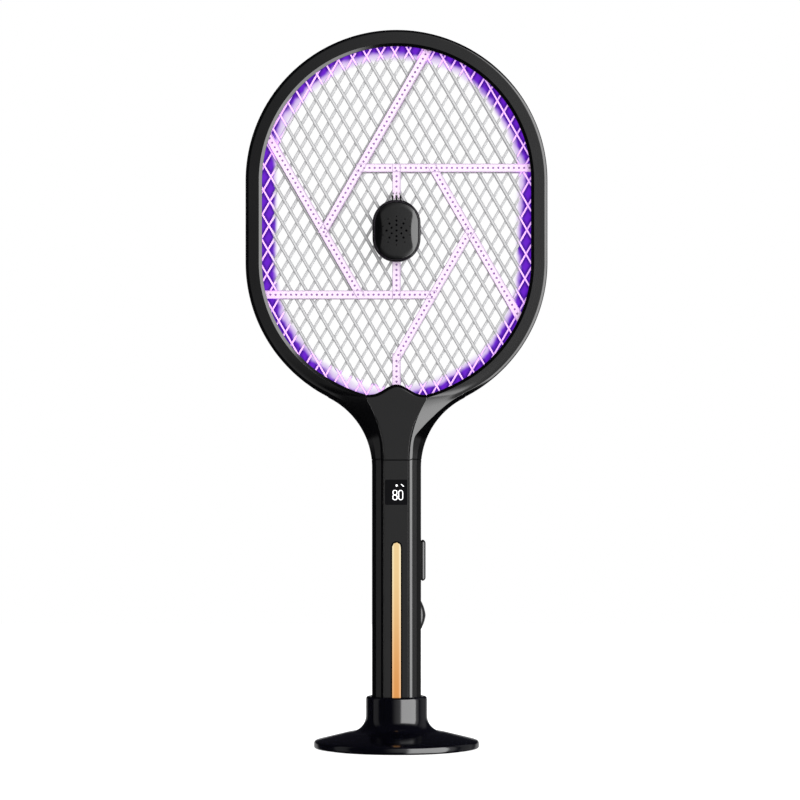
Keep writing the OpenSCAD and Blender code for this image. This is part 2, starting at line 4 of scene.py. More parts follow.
import bpy
import numpy as np
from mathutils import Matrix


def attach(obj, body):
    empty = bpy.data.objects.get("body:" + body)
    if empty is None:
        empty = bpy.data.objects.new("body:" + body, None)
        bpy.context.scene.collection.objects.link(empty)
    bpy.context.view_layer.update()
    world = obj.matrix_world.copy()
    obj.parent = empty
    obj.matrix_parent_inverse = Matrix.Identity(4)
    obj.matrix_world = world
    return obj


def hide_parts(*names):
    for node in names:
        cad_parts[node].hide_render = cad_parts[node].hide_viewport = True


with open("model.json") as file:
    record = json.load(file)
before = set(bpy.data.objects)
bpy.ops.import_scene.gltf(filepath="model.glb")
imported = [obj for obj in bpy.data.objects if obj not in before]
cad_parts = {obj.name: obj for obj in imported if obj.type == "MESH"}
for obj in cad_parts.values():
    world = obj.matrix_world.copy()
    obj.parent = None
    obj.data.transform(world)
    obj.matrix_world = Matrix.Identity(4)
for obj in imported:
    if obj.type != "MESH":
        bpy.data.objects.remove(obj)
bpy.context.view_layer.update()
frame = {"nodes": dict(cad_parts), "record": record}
mm = 0.001

# sizes shared by several pieces, in millimetres
layout = {
    "handleHalf": 17.6, "handleDepth": 16.5, "panelHalf": 9.4, "footZ": 14.0, "seamZ": 208.0,
    "sweepR": 56.0, "sweepZ": 202.3, "panelSweepR": 85.0,
    "headR": 108.3, "openR": 97.2, "lowZ": 349.64, "highZ": 408.14, "patternZ": 372.09,
    "joinX": 48.5, "joinR": 108.7,
}
# direction, from the lower round end's middle, in which the neck's sweep meets the head
joinAngle = -math.degrees(math.acos(layout["joinX"] / layout["joinR"]))
seamRows = layout["seamZ"] + np.array([-0.3, -0.16, 0, 0.16, 0.3, 0.45])


def smooth(x, a, b):
    # 0 up to a, 1 from b on, and three t squared less two t cubed between them
    t = np.clip((np.asarray(x, float) - a) / (b - a), 0, 1)
    return t * t * (3 - 2 * t)


class Patch:
    # grids of points collected into one mesh
    def __init__(self):
        self.points, self.faces, self.total, self.kinds = [], [], 0, []

    def grid(self, p, closeU=False, closeV=False, flip=False, kinds=None):
        # p is an array of n rows by m columns of points; each cell becomes one four-sided face,
        # and kinds gives the material number of each column of faces
        n, m = p.shape[:2]
        i = np.arange(n if closeU else n - 1)
        j = np.arange(m if closeV else m - 1)
        a, b = np.meshgrid(i, j, indexing="ij")
        a2, b2 = (a + 1) % n, (b + 1) % m
        f = np.stack([a * m + b, a * m + b2, a2 * m + b2, a2 * m + b], -1).reshape(-1, 4)
        if flip:
            f = f[:, ::-1]
        self.points.append(p.reshape(-1, 3))
        self.faces.append(f + self.total)
        self.kinds.append(np.zeros(len(f), int) if kinds is None else np.tile(kinds, len(i)))
        self.total += n * m
        return self

    def fan(self, ring, centre, flip=False):
        # closes a ring of points with triangles to one middle point, held as four-sided faces
        m = len(ring)
        k = np.arange(m)
        f = np.stack([k, (k + 1) % m, np.full(m, m), np.full(m, m)], -1)
        if flip:
            f = f[:, [1, 0, 2, 3]]
        self.points.append(np.vstack([ring, centre]))
        self.kinds.append(np.zeros(m, int))
        self.faces.append(f + self.total)
        self.total += m + 1
        return self

    def build(self, name, material, body, slot, stands=(), flat=False):
        # writes all the points and faces into one mesh, a face with a repeated last corner being a triangle
        co = np.vstack(self.points) * mm
        f = np.vstack(self.faces)
        tri = f[:, 2] == f[:, 3]
        sizes = np.where(tri, 3, 4)
        keep = np.ones(f.shape, bool)
        keep[tri, 3] = False
        mesh = bpy.data.meshes.new(name)
        mesh.vertices.add(len(co))
        mesh.vertices.foreach_set("co", co.astype(np.float32).ravel())
        loops = f[keep]
        mesh.loops.add(len(loops))
        mesh.loops.foreach_set("vertex_index", loops.astype(np.int32))
        mesh.polygons.add(len(f))
        starts = np.concatenate([[0], np.cumsum(sizes)[:-1]])
        mesh.polygons.foreach_set("loop_start", starts.astype(np.int32))
        mesh.polygons.foreach_set("use_smooth", np.full(len(f), not flat))
        mesh.polygons.foreach_set("material_index", np.concatenate(self.kinds).astype(np.int32))
        mesh.update(calc_edges=True)
        for m in material if isinstance(material, list) else [material]:
            mesh.materials.append(m)
        obj = bpy.data.objects.new(name, mesh)
        bpy.context.scene.collection.objects.link(obj)
        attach(obj, body)
        if stands:
            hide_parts(*stands)
        return obj


def filletRows(keys, radii, steps=4):
    # keys is n stations by k corners; every inner corner is swapped for a short curve that keeps its radius
    rows = [keys[:, 0]]
    for j in range(1, keys.shape[1] - 1):
        p, a, b = keys[:, j], keys[:, j - 1], keys[:, j + 1]
        la = np.linalg.norm(a - p, axis=1, keepdims=True) + 1e-9
        lb = np.linalg.norm(b - p, axis=1, keepdims=True) + 1e-9
        r = np.broadcast_to(np.asarray(radii[j], float).reshape(-1, 1), (len(p), 1))
        start = p + (a - p) * np.minimum(r / la, 0.45)
        end = p + (b - p) * np.minimum(r / lb, 0.45)
        # one more row just outside each end keeps the flat between two curves flat
        before = p + (a - p) * np.minimum((r + 0.15) / la, 0.48)
        after = p + (b - p) * np.minimum((r + 0.15) / lb, 0.48)
        rows.append(before)
        for t in np.linspace(0, 1, steps):
            rows.append(start * (1 - t) ** 2 + p * 2 * t * (1 - t) + end * t * t)
        rows.append(after)
    rows.append(keys[:, -1])
    return np.stack(rows, 1)


def insertRows(rows, gap):
    # adds straight rows wherever two neighbours are further apart than gap
    out = [rows[:, 0]]
    for j in range(1, rows.shape[1]):
        a, b = rows[:, j - 1], rows[:, j]
        n = int(np.ceil(np.linalg.norm(b - a, axis=1).max() / gap))
        for t in range(1, max(n, 1) + 1):
            out.append(a + (b - a) * t / max(n, 1))
    return np.stack(out, 1)


def roundedLoop(w, h, r, n=96):
    # outline of a rounded rectangle as n points at even steps round it, with outward normals
    r = min(r, w / 2 - 1e-4, h / 2 - 1e-4)
    ax, ay = w / 2 - r, h / 2 - r
    sides = np.array([2 * ay, math.pi / 2 * r, 2 * ax, math.pi / 2 * r] * 2)
    ends = np.concatenate([[0], np.cumsum(sides)])
    s = np.linspace(0, ends[-1], n, endpoint=False)
    k = np.clip(np.searchsorted(ends, s, side="right") - 1, 0, 7)
    t = (s - ends[k]) / np.maximum(sides[k], 1e-9)
    p, nrm = np.zeros((n, 2)), np.zeros((n, 2))
    starts = {0: (ax + r, -ay), 2: (ax, ay + r), 4: (-ax - r, ay), 6: (-ax, -ay - r)}
    moves = {0: (0, 2 * ay), 2: (-2 * ax, 0), 4: (0, -2 * ay), 6: (2 * ax, 0)}
    out = {0: (1, 0), 2: (0, 1), 4: (-1, 0), 6: (0, -1)}
    centres = {1: (ax, ay, 0), 3: (-ax, ay, 90), 5: (-ax, -ay, 180), 7: (ax, -ay, 270)}
    for side in range(8):
        m = k == side
        if side in starts:
            p[m] = np.array(starts[side]) + t[m, None] * np.array(moves[side])
            nrm[m] = out[side]
        else:
            cx, cy, base = centres[side]
            a = np.radians(base + 90 * t[m])
            nrm[m] = np.stack([np.cos(a), np.sin(a)], -1)
            p[m] = np.array([cx, cy]) + r * nrm[m]
    return p, nrm


def frontLoop(w, h, r, inset, y, cx=0.0, cz=0.0, n=96):
    # the same outline facing the front, drawn in by inset, at depth y
    p, nrm = roundedLoop(w, h, r, n)
    q = p - nrm * inset
    return np.stack([q[:, 0] + cx, np.full(n, y), q[:, 1] + cz], -1)


def plug(tree, value, target):
    # links a wire to a socket, or sets the socket to a plain value
    if isinstance(value, Wire):
        tree.links.new(value.out, target)
    elif value is not None:
        target.default_value = value


class Wire:
    # one output socket in a node tree, with arithmetic on it
    def __init__(self, tree, out):
        self.tree, self.out = tree, out

    def node(self, kind, settings=None, sockets=None, out=0):
        # any node: its type, its settings, and the values or wires of its sockets
        n = self.tree.nodes.new(kind)
        for key, value in (settings or {}).items():
            setattr(n, key, value)
        for key, value in (sockets or {}).items():
            plug(self.tree, value, n.inputs[key])
        return Wire(self.tree, n.outputs[out])

    def maths(self, kind, a, b=0.0):
        return self.node("ShaderNodeMath", {"operation": kind}, {0: a, 1: b})

    def __add__(self, o): return self.maths("ADD", self, o)
    def __radd__(self, o): return self.maths("ADD", o, self)
    def __sub__(self, o): return self.maths("SUBTRACT", self, o)
    def __rsub__(self, o): return self.maths("SUBTRACT", o, self)
    def __mul__(self, o): return self.maths("MULTIPLY", self, o)
    def __rmul__(self, o): return self.maths("MULTIPLY", o, self)
    def __pow__(self, o): return self.maths("POWER", self, o)

    def ramp(self, a, b, low=0.0, high=1.0):
        # low up to a, high from b on, and an S-shaped change between them
        return self.node("ShaderNodeMapRange", {"interpolation_type": "SMOOTHSTEP"},
                         {0: self, 1: a, 2: b, 3: low, 4: high})

    def mix(self, colourA, colourB):
        # blends two colours, this wire being the share of the second
        n = self.tree.nodes.new("ShaderNodeMix")
        n.data_type = "RGBA"
        plug(self.tree, self, n.inputs[0])
        plug(self.tree, colourA, n.inputs[6])
        plug(self.tree, colourB, n.inputs[7])
        return Wire(self.tree, n.outputs[2])


def newMaterial(name):
    # an empty finish: its node tree, its shader and the place on the piece
    m = bpy.data.materials.new(name)
    m.use_nodes = True
    tree = m.node_tree
    tree.nodes.clear()
    outNode = tree.nodes.new("ShaderNodeOutputMaterial")
    shader = tree.nodes.new("ShaderNodeBsdfPrincipled")
    tree.links.new(shader.outputs[0], outNode.inputs[0])
    coords = tree.nodes.new("ShaderNodeTexCoord")
    return m, tree, shader, Wire(tree, coords.outputs["Object"])


def noise(here, scale, detail=3.0, rough=0.55):
    return here.node("ShaderNodeTexNoise", None,
                     {"Vector": here, "Scale": scale, "Detail": detail, "Roughness": rough})


def finishMaterial(name, look):
    # a moulded or metal finish: broad noise varies the colour and roughness, fine noise gives the grain
    m, tree, shader, here = newMaterial(name)
    broad = noise(here, 30.0, 4.0)
    fine = noise(here, look.get("fine", 900.0), 3.0)
    c = look["colour"]
    dark = [x * (1 - look.get("vary", 0.12)) for x in c] + [1.0]
    light = [x * (1 + look.get("vary", 0.12)) for x in c] + [1.0]
    plug(tree, broad.ramp(0.3, 0.7).mix(dark, light), shader.inputs["Base Color"])
    r, spread = look["rough"], look.get("roughVary", 0.03)
    plug(tree, broad.ramp(0.3, 0.7, r - spread, r + spread) + (fine - 0.5) * (spread * 0.8),
         shader.inputs["Roughness"])
    shader.inputs["Metallic"].default_value = look.get("metal", 0.0)
    shader.inputs["IOR"].default_value = look.get("ior", 1.5)
    height = fine * 0.4
    if "brush" in look:
        stretched = here.node("ShaderNodeMapping", None, {"Vector": here, "Scale": look["brush"]})
        height = height + noise(stretched, 400.0, 2.0) * 0.6
    bump = here.node("ShaderNodeBump", None,
                     {"Height": height, "Strength": look.get("bump", 0.08), "Distance": 0.0002})
    plug(tree, bump, shader.inputs["Normal"])
    if "glow" in look:
        shader.inputs["Emission Color"].default_value = (*look["glow"], 1.0)
        shader.inputs["Emission Strength"].default_value = look["glowPower"]
    return m


looks = {
    "shell_black": {"colour": (0.0009, 0.0009, 0.001), "rough": 0.15, "bump": 0.02, "roughVary": 0.02},
    "dock_black": {"colour": (0.001, 0.001, 0.0022), "rough": 0.12, "bump": 0.02, "roughVary": 0.015},
    "control_black": {"colour": (0.0025, 0.0025, 0.0027), "rough": 0.21, "bump": 0.06, "fine": 2600.0},
    "pod_black": {"colour": (0.0012, 0.0012, 0.0013), "rough": 0.24, "ior": 1.46, "bump": 0.08,
                  "fine": 2200.0},
    "net_metal": {"colour": (0.56, 0.56, 0.57), "rough": 0.4, "metal": 0.55, "bump": 0.2, "fine": 1500.0},
    "white_board": {"colour": (0.72, 0.72, 0.7), "rough": 0.45, "bump": 0.05},
    "insulator": {"colour": (0.6, 0.6, 0.56), "rough": 0.5, "bump": 0.1},
    "green_board": {"colour": (0.02, 0.12, 0.05), "rough": 0.35, "bump": 0.1, "vary": 0.3},
    "wire_red": {"colour": (0.4, 0.02, 0.02), "rough": 0.45, "bump": 0.1},
    "steel": {"colour": (0.5, 0.5, 0.52), "rough": 0.3, "metal": 1.0, "brush": (1, 1, 12), "bump": 0.2},
    "cell_sleeve": {"colour": (0.02, 0.09, 0.3), "rough": 0.3, "bump": 0.05},
    "winding": {"colour": (0.5, 0.36, 0.1), "rough": 0.4, "brush": (1, 1, 30), "bump": 0.3},
    "capacitor": {"colour": (0.35, 0.12, 0.02), "rough": 0.35, "bump": 0.1},
    "contact_brass": {"colour": (0.72, 0.5, 0.18), "rough": 0.25, "metal": 1.0, "bump": 0.1},
    "window_black": {"colour": (0.002, 0.002, 0.0025), "rough": 0.1, "bump": 0.01, "roughVary": 0.01,
                     "ior": 1.16},
    "display_white": {"colour": (0.75, 0.75, 0.74), "rough": 0.4, "bump": 0.05},
    "tablet": {"colour": (0.62, 0.7, 0.55), "rough": 0.8, "bump": 0.8, "fine": 700.0, "vary": 0.2},
    "foot_rubber": {"colour": (0.02, 0.02, 0.02), "rough": 0.75, "bump": 0.4, "fine": 1800.0},
    "digit": {"colour": (0.8, 0.8, 0.8), "rough": 0.4, "glow": (0.95, 0.97, 1.0), "glowPower": 0.42},
    "pit": {"colour": (0.16, 0.07, 0.22), "rough": 0.6, "bump": 0.1},
    # a dull near-black standing in for the shade inside the scent holes and the light bar's groove: painted
    # shade
    "hole": {"colour": (0.0008, 0.0008, 0.001), "rough": 0.7, "ior": 1.01},
}
mats = {slot: finishMaterial(slot, look) for slot, look in looks.items()}

# both directions of strips: slope in degrees, pitch and shift in millimetres, and where the strips end
nets = {"rise": (60.0, 8.1, 0.45), "fall": (-60.0, 9.35, -2.5), "radius": 99.3}


def headDistance(here):
    # distance from the head's upright middle line, in metres, with the line's two ends as centres
    parts = here.tree.nodes.new("ShaderNodeSeparateXYZ")
    plug(here.tree, here, parts.inputs[0])
    x, z = Wire(here.tree, parts.outputs[0]), Wire(here.tree, parts.outputs[2])
    low, high = layout["lowZ"] * mm, layout["highZ"] * mm
    past = z - here.maths("MINIMUM", here.maths("MAXIMUM", z, low), high)
    return (x * x + past * past) ** 0.5, x, z


glow = {
    # edge is the darker violet painted beside the net strips, their painted shade on the glow
    "colour": (0.14, 0.01, 0.6), "edge": (0.045, 0.0, 0.27), "inner": (0.6, 0.4, 0.8), "power": 0.95,
    "solid": 5.0, "fade": 9.0, "clearFrom": 8.5, "clearBy": 12.5, "centreZ": 0.379,
    # size, count round the ring and turn of each wave in the lit band's width
    "waves": ((2.6, 2.0, 0.0), (1.2, 6.0, 1.4), (0.7, 9.0, -0.5), (1.7, 3.0, 2.62)),
}


def glowMaterial():
    # the light guide: violet by the frame, paler and then clear further in; darker beside every net strip,
    # where the edge colour paints the strips' shade on the glow
    m, tree, shader, here = newMaterial("glow_violet")
    far, x, z = headDistance(here)
    depth = (layout["openR"] * mm - far) * 1000.0
    angle = here.maths("ARCTAN2", z - glow["centreZ"], x)
    wave = sum(here.maths("COSINE", angle * count + turn) * size for size, count, turn in glow["waves"])
    patch = noise(here, 70.0, 2.0)
    reach = depth + (patch - 0.5) * 9.0 - wave
    solid = glow["solid"]
    shade = reach.ramp(solid, solid + 3.5, 0.45, 0.0)
    shade = shade + reach.ramp(solid + 1.0, solid + glow["fade"], 0.55, 0.0)
    shade = shade * depth.ramp(glow["clearFrom"], glow["clearBy"], 1.0, 0.0)
    tint = reach.ramp(solid - 0.5, solid + 3.0)
    rel = z - layout["patternZ"] * mm

    def across(sign, family):
        # the coordinate across one direction of strips, folded so that 0 is on a strip
        _, pitch, phase = nets[family]
        s = (x * (sign * -0.866) + rel * 0.5) * 1000.0 - phase
        return here.maths("PINGPONG", s + pitch * 200.0, pitch / 2)
    # painted shade: the glow turns to the edge colour on and beside each net strip
    near = here.maths("MINIMUM", across(1.0, "rise"), across(-1.0, "fall")).ramp(0.8, 3.2)
    colour = tint.mix(near.mix((*glow["edge"], 1), (*glow["colour"], 1)), (*glow["inner"], 1))
    plug(tree, patch.ramp(0.3, 0.7).mix((0.008, 0.0, 0.03, 1), (0.012, 0.0, 0.04, 1)),
         shader.inputs["Base Color"])
    plug(tree, colour, shader.inputs["Emission Color"])
    shader.inputs["Emission Strength"].default_value = glow["power"]
    shader.inputs["Specular IOR Level"].default_value = 0.12
    shader.inputs["Roughness"].default_value = 0.45
    plug(tree, shade, shader.inputs["Alpha"])
    grain = here.node("ShaderNodeBump", None,
                      {"Height": noise(here, 1400.0), "Strength": 0.1, "Distance": 0.0002})
    plug(tree, grain, shader.inputs["Normal"])
    return m


# finishes with painted violet light near the frame, the ring's light on them painted as colour and glow: own
# colour, lit colour and its glow power, where in from the opening's edge the painted light starts to fade and
# has gone, and how clear the lit part is
paintedLightLooks = {
    "net_core": {"colour": (0.37, 0.37, 0.375), "lit": (0.6, 0.33, 0.72), "power": 0.75,
                 "reach": (6.5, 10.5), "rough": 0.45, "metal": 0.1},
    # the next two are darker copies for the strips' bevels and sides: painted shade, which by the frame turns
    # dark violet and partly clear
    "net_edge_shaded": {"colour": (0.22, 0.22, 0.225), "lit": (0.09, 0.008, 0.34), "power": 0.6,
                 "reach": (6.5, 9.5), "rough": 0.45, "metal": 0.1, "clear": 0.9},
    "net_side_shaded": {"colour": (0.33, 0.33, 0.335), "lit": (0.09, 0.008, 0.34), "power": 0.6,
                 "reach": (6.5, 9.5), "rough": 0.45, "metal": 0.1, "clear": 0.9},
    "net_plain": {"colour": (0.35, 0.35, 0.355), "lit": (0.56, 0.3, 0.68), "power": 0.75,
                  "reach": (6.5, 10.5), "rough": 0.45, "metal": 0.1},
    # a darker copy for the bars' rims and sides: painted shade drawing their outlines
    "rib_edge_shaded": {"colour": (0.31, 0.24, 0.35), "lit": (0.45, 0.22, 0.6), "power": 0.1,
                 "reach": (4.0, 16.0), "rough": 0.4},
    "rib_white": {"colour": (0.55, 0.45, 0.56), "lit": (0.62, 0.42, 0.68), "power": 0.06,
                  "reach": (4.0, 16.0), "rough": 0.4},
}


def paintedLightMaterial(name, look):
    # painted light: one share, falling inwards from the frame with a little noise, blends own and lit values,
    # and the lit colour also glows
    m, tree, shader, here = newMaterial(name)
    depth = (layout["openR"] * mm - headDistance(here)[0]) * 1000.0
    share = (depth + (noise(here, 60.0, 2.0) - 0.5) * 4.0).ramp(*look["reach"], 1.0, 0.0)
    fine = noise(here, 1500.0)
    lit, rough = (*look["lit"], 1.0), look["rough"]
    plug(tree, share.mix((*look["colour"], 1.0), lit), shader.inputs["Base Color"])
    plug(tree, share.mix((0, 0, 0, 1), lit), shader.inputs["Emission Color"])
    shader.inputs["Emission Strength"].default_value = look["power"]
    shader.inputs["Specular IOR Level"].default_value = 0.3
    plug(tree, fine.ramp(0.2, 0.8, rough - 0.05, rough + 0.05), shader.inputs["Roughness"])
    plug(tree, share.ramp(0.0, 1.0, look.get("metal", 0.0), 0.0), shader.inputs["Metallic"])
    if "clear" in look:
        plug(tree, share.ramp(0.0, 1.0, 1.0, 1.0 - look["clear"]), shader.inputs["Alpha"])
    bump = here.node("ShaderNodeBump", None, {"Height": fine, "Strength": 0.15, "Distance": 0.0002})
    plug(tree, bump, shader.inputs["Normal"])
    return m


mats["glow_violet"] = glowMaterial()
for slot, look in paintedLightLooks.items():
    mats[slot] = paintedLightMaterial(slot, look)

lightBar = {"w": 6.1, "h": 121.0, "r": 3.04, "z": 88.5, "grooveW": 8.2, "grooveH": 123.1, "grooveR": 4.1,
            "power": 0.96, "topCore": (0.86, 0.62, 0.29, 1), "lowCore": (0.73, 0.29, 0.06, 1),
            "topEdge": (0.99, 0.84, 0.52, 1), "lowEdge": (0.87, 0.45, 0.18, 1)}


def stripMaterial():
    # the warm light: palest at the top, amber at the bottom, brighter along both edges
    m, tree, shader, here = newMaterial("light_warm")
    parts = tree.nodes.new("ShaderNodeSeparateXYZ")
    plug(tree, here, parts.inputs[0])
    x, z = Wire(tree, parts.outputs[0]), Wire(tree, parts.outputs[2])
    middle, half = lightBar["z"] * mm, lightBar["h"] / 2 * mm
    down = z.ramp(middle - half, middle + half, 1.0, 0.0)
    core = down.mix(lightBar["topCore"], lightBar["lowCore"])
    edge = down.mix(lightBar["topEdge"], lightBar["lowEdge"])
    side = here.maths("ABSOLUTE", x, 0.0).ramp(0.0012, 0.0027)
    grain = noise(here, 260.0, 2.0)
    colour = (side + (grain - 0.5) * 0.12).mix(core, edge)
    plug(tree, colour, shader.inputs["Emission Color"])
    shader.inputs["Emission Strength"].default_value = lightBar["power"]
    shader.inputs["Base Color"].default_value = (0.012, 0.01, 0.008, 1)
    shader.inputs["Specular IOR Level"].default_value = 0.25
    shader.inputs["Roughness"].default_value = 0.35
    bump = here.node("ShaderNodeBump", None, {"Height": grain, "Strength": 0.1, "Distance": 0.0003})
    plug(tree, bump, shader.inputs["Normal"])
    return m


mats["light_warm"] = stripMaterial()
print("materials made")


shell = {
    "grooveW": 1.05, "grooveD": 0.9, "bevelW": 2.2, "bevelD": 1.15, "lipFloor": 9.05, "innerJoin": 77.8,
    "innerGive": 0.8, "sweepTop": 252.4, "bendZ": 226, "faceTop": 252.5, "edgeX": 21.3,
    "humpFoot": 21.0, "humpDip": 2.3, "humpTop": 9.7, "humpCurve": 1.35, "panelTop": 16.1,
}


def neckPanel(z):
    # half the raised panel's width: straight below the seam, a circle's sweep outwards above it
    r = layout["panelSweepR"]
    up = np.maximum(z, layout["seamZ"]) - layout["seamZ"]
    return layout["panelHalf"] + r - np.sqrt(r * r - np.minimum(up, 60) ** 2)


def outerPath():
    # the right-hand silhouette from foot to top: place, outward normal and paired inner edge, in that order;
    # straight grip, then a circle curving outwards, then the head's round end, straight side and round end
    lay, seam = layout, layout["seamZ"]
    zs = np.concatenate([np.linspace(lay["footZ"], 40, 10), np.linspace(41, 198, 70),
                         np.linspace(199, seam - 0.45, 8), seamRows,
                         np.linspace(seam + 1, shell["sweepTop"], 64)])
    sweepX = lay["handleHalf"] + lay["sweepR"]
    up = np.clip(zs - lay["sweepZ"], 0, None)
    across = sweepX - np.sqrt(lay["sweepR"] ** 2 - up ** 2)
    nx = np.where(up > 0, (sweepX - across) / lay["sweepR"], 1.0)
    arm = np.stack([across, zs, nx, -up / lay["sweepR"], neckPanel(zs), zs], -1)
    b = np.radians(np.linspace(joinAngle, 0, 90)[1:])
    c = b * (shell["innerJoin"] / -joinAngle)
    inTop = lay["openR"] + shell["bevelW"] - shell["innerGive"]
    inR = inTop + shell["innerGive"] * (1 - smooth(np.degrees(c), -shell["innerJoin"], -62.0))
    low = np.stack([lay["headR"] * np.cos(b), lay["lowZ"] + lay["headR"] * np.sin(b), np.cos(b), np.sin(b),
                    inR * np.cos(c), lay["lowZ"] + inR * np.sin(c)], -1)
    zz = np.linspace(lay["lowZ"], lay["highZ"], 14)[1:-1]
    one = np.ones(12)
    side = np.stack([lay["headR"] * one, zz, one, 0 * one, inTop * one, zz], -1)
    d = np.radians(np.linspace(0, 90, 110))
    high = np.stack([lay["headR"] * np.cos(d), lay["highZ"] + lay["headR"] * np.sin(d), np.cos(d), np.sin(d),
                     inTop * np.cos(d), lay["highZ"] + inTop * np.sin(d)], -1)
    path = np.vstack([arm, low, side, high])
    return path, np.arange(len(path)) >= len(arm)


def gentle(z, places, values):
    # a smooth curve past a few control values: straight lines between them, averaged under a bell
    fine = np.linspace(z.min(), z.max(), 1200)
    v = np.interp(fine, places, values)
    k = np.hanning(19)
    v = np.convolve(np.pad(v, 9, "edge"), k / k.sum(), "valid")
    return np.interp(z, fine, v)


neck = {
    # distance measured along the outer path from the handle's seam, in millimetres
    "reach": [-200, -4, 3, 8, 14, 22, 31, 41, 53, 62, 80, 110],
    "facetWide": [6.4, 6.45, 6.85, 7.8, 8.7, 6.2, 4.1, 3.1, 2.95, 2.8, 2.0, 1.7],
    "outerFrom": [2.97, 2.97, 3.1, 3.5, 3.9, 2.8, 1.8, 1.25, 1.15, 1.0, 0.5, 0.3],
    "outerDeep": [8.5, 8.5, 8.2, 7.2, 6.2, 7.8, 8.6, 8.8, 9.1, 9.6, 10.8, 11.3],
    "midDeep": [12.2, 12.2, 11.9, 11.1, 10.4, 11.1, 11.5, 11.3, 11.2, 11.7, 12.2, 12.45],
    "facetDeep": [15.6, 15.6, 15.55, 15.45, 15.3, 14.7, 14.1, 13.5, 13.2, 13.1, 13.15, 13.2],
    "panelDeep": [16.5, 16.5, 16.5, 16.49, 16.47, 16.43, 16.38, 16.3, 16.2, 15.5, 14.2, 13.6],
}


def armRows():
    # carries the facets' profile along the outer path: each corner is a distance in from the silhouette,
    # or a share of the way to the inner edge, at its own depth, and every corner is then rounded
    path, onHead = outerPath()
    p, n, q = path[:, 0:2], path[:, 2:4], path[:, 4:6]
    s = np.concatenate([[0], np.cumsum(np.linalg.norm(np.diff(p, axis=0), axis=1))])
    order = np.argsort(p[:200, 1])
    s = s - np.interp(layout["seamZ"], p[order, 1], s[order])
    v = {k: gentle(s, neck["reach"], neck[k]) for k in neck if k != "reach"}
    onRing = smooth(s, s[onHead][0] - 3.0, s[onHead][0])

    def at(xy, depth):
        # points across and up, pushed forward by depth
        return np.stack([xy[:, 0], -np.broadcast_to(depth, len(xy)), xy[:, 1]], -1)
    outer = p - n * v["outerFrom"][:, None]
    facet = p - n * v["facetWide"][:, None]
    share = 0.2
    between = facet + (q - facet) * share
    settle = smooth(s, 46, 60) * (1 - smooth(s, 95, 140))
    betweenDeep = v["facetDeep"] + (v["panelDeep"] - v["facetDeep"]) * share * (1 - 0.8 * settle)
    grooveEdge = q - np.stack([np.full(len(q), 0.12), np.zeros(len(q))], -1)
    centre = np.stack([np.zeros(len(q)), np.clip(q[:, 1], layout["lowZ"], layout["highZ"])], -1)
    inward = centre - q
    inward /= np.maximum(np.linalg.norm(inward, axis=1, keepdims=True), 1e-9)
    bevelEdge = q + inward * shell["bevelW"]
    w = onRing[:, None]
    lip = grooveEdge * (1 - w) + bevelEdge * w
    lipDeep = v["panelDeep"] - (shell["grooveD"] * (1 - onRing) + shell["bevelD"] * onRing)
    floorDeep = (v["panelDeep"] - shell["grooveD"] - 0.4) * (1 - onRing) + shell["lipFloor"] * onRing
    inset = np.array([[0.25, 0.0]]) * (1 - w)
    keys = np.stack([at(p - n * 0.35, 0.0), at(p - n * 0.35, 0.12), at(p, 0.3), at(p, v["outerDeep"]),
                     at(outer, v["midDeep"]), at(facet, v["facetDeep"]), at(between, betweenDeep),
                     at(q, v["panelDeep"]), at(lip, lipDeep),
                     at(lip - inset + (bevelEdge - q) * 0.001, floorDeep),
                     at(lip - 6 * inset, floorDeep)], 1)
    edge = 0.35 + 0.9 * smooth(s, 60, 110)
    rows = filletRows(keys, [0, 0.1, 0.2, edge, edge, edge, 3.0, 0.1, 0.12, 0.1, 0], 5)
    rows = insertRows(rows, 3.2)
    # the fine seam round the neck
    dent = np.exp(-((p[:, 1] - layout["seamZ"]) / 0.22) ** 4)[:, None, None] * (s < 20)[:, None, None]
    rows = rows * (1 - dent * np.array([0.022, 0.03, 0.0]))
    return rows, p[:, 1]


def humpCurve(x):
    # the opening's lower edge: its circle, and in the middle a raised cosine bell wherever that is higher
    lowZ, openR = layout["lowZ"], layout["openR"]
    circle = lowZ - np.sqrt(np.maximum(openR ** 2 - x ** 2, 0))
    bell = ((1 + np.cos(np.pi * np.clip(x / shell["humpFoot"], -1, 1))) / 2) ** shell["humpCurve"]
    z = lowZ - openR + shell["humpDip"] + (shell["humpTop"] - shell["humpDip"]) * bell
    return np.where(np.abs(x) < shell["humpFoot"], np.maximum(z, circle), circle)


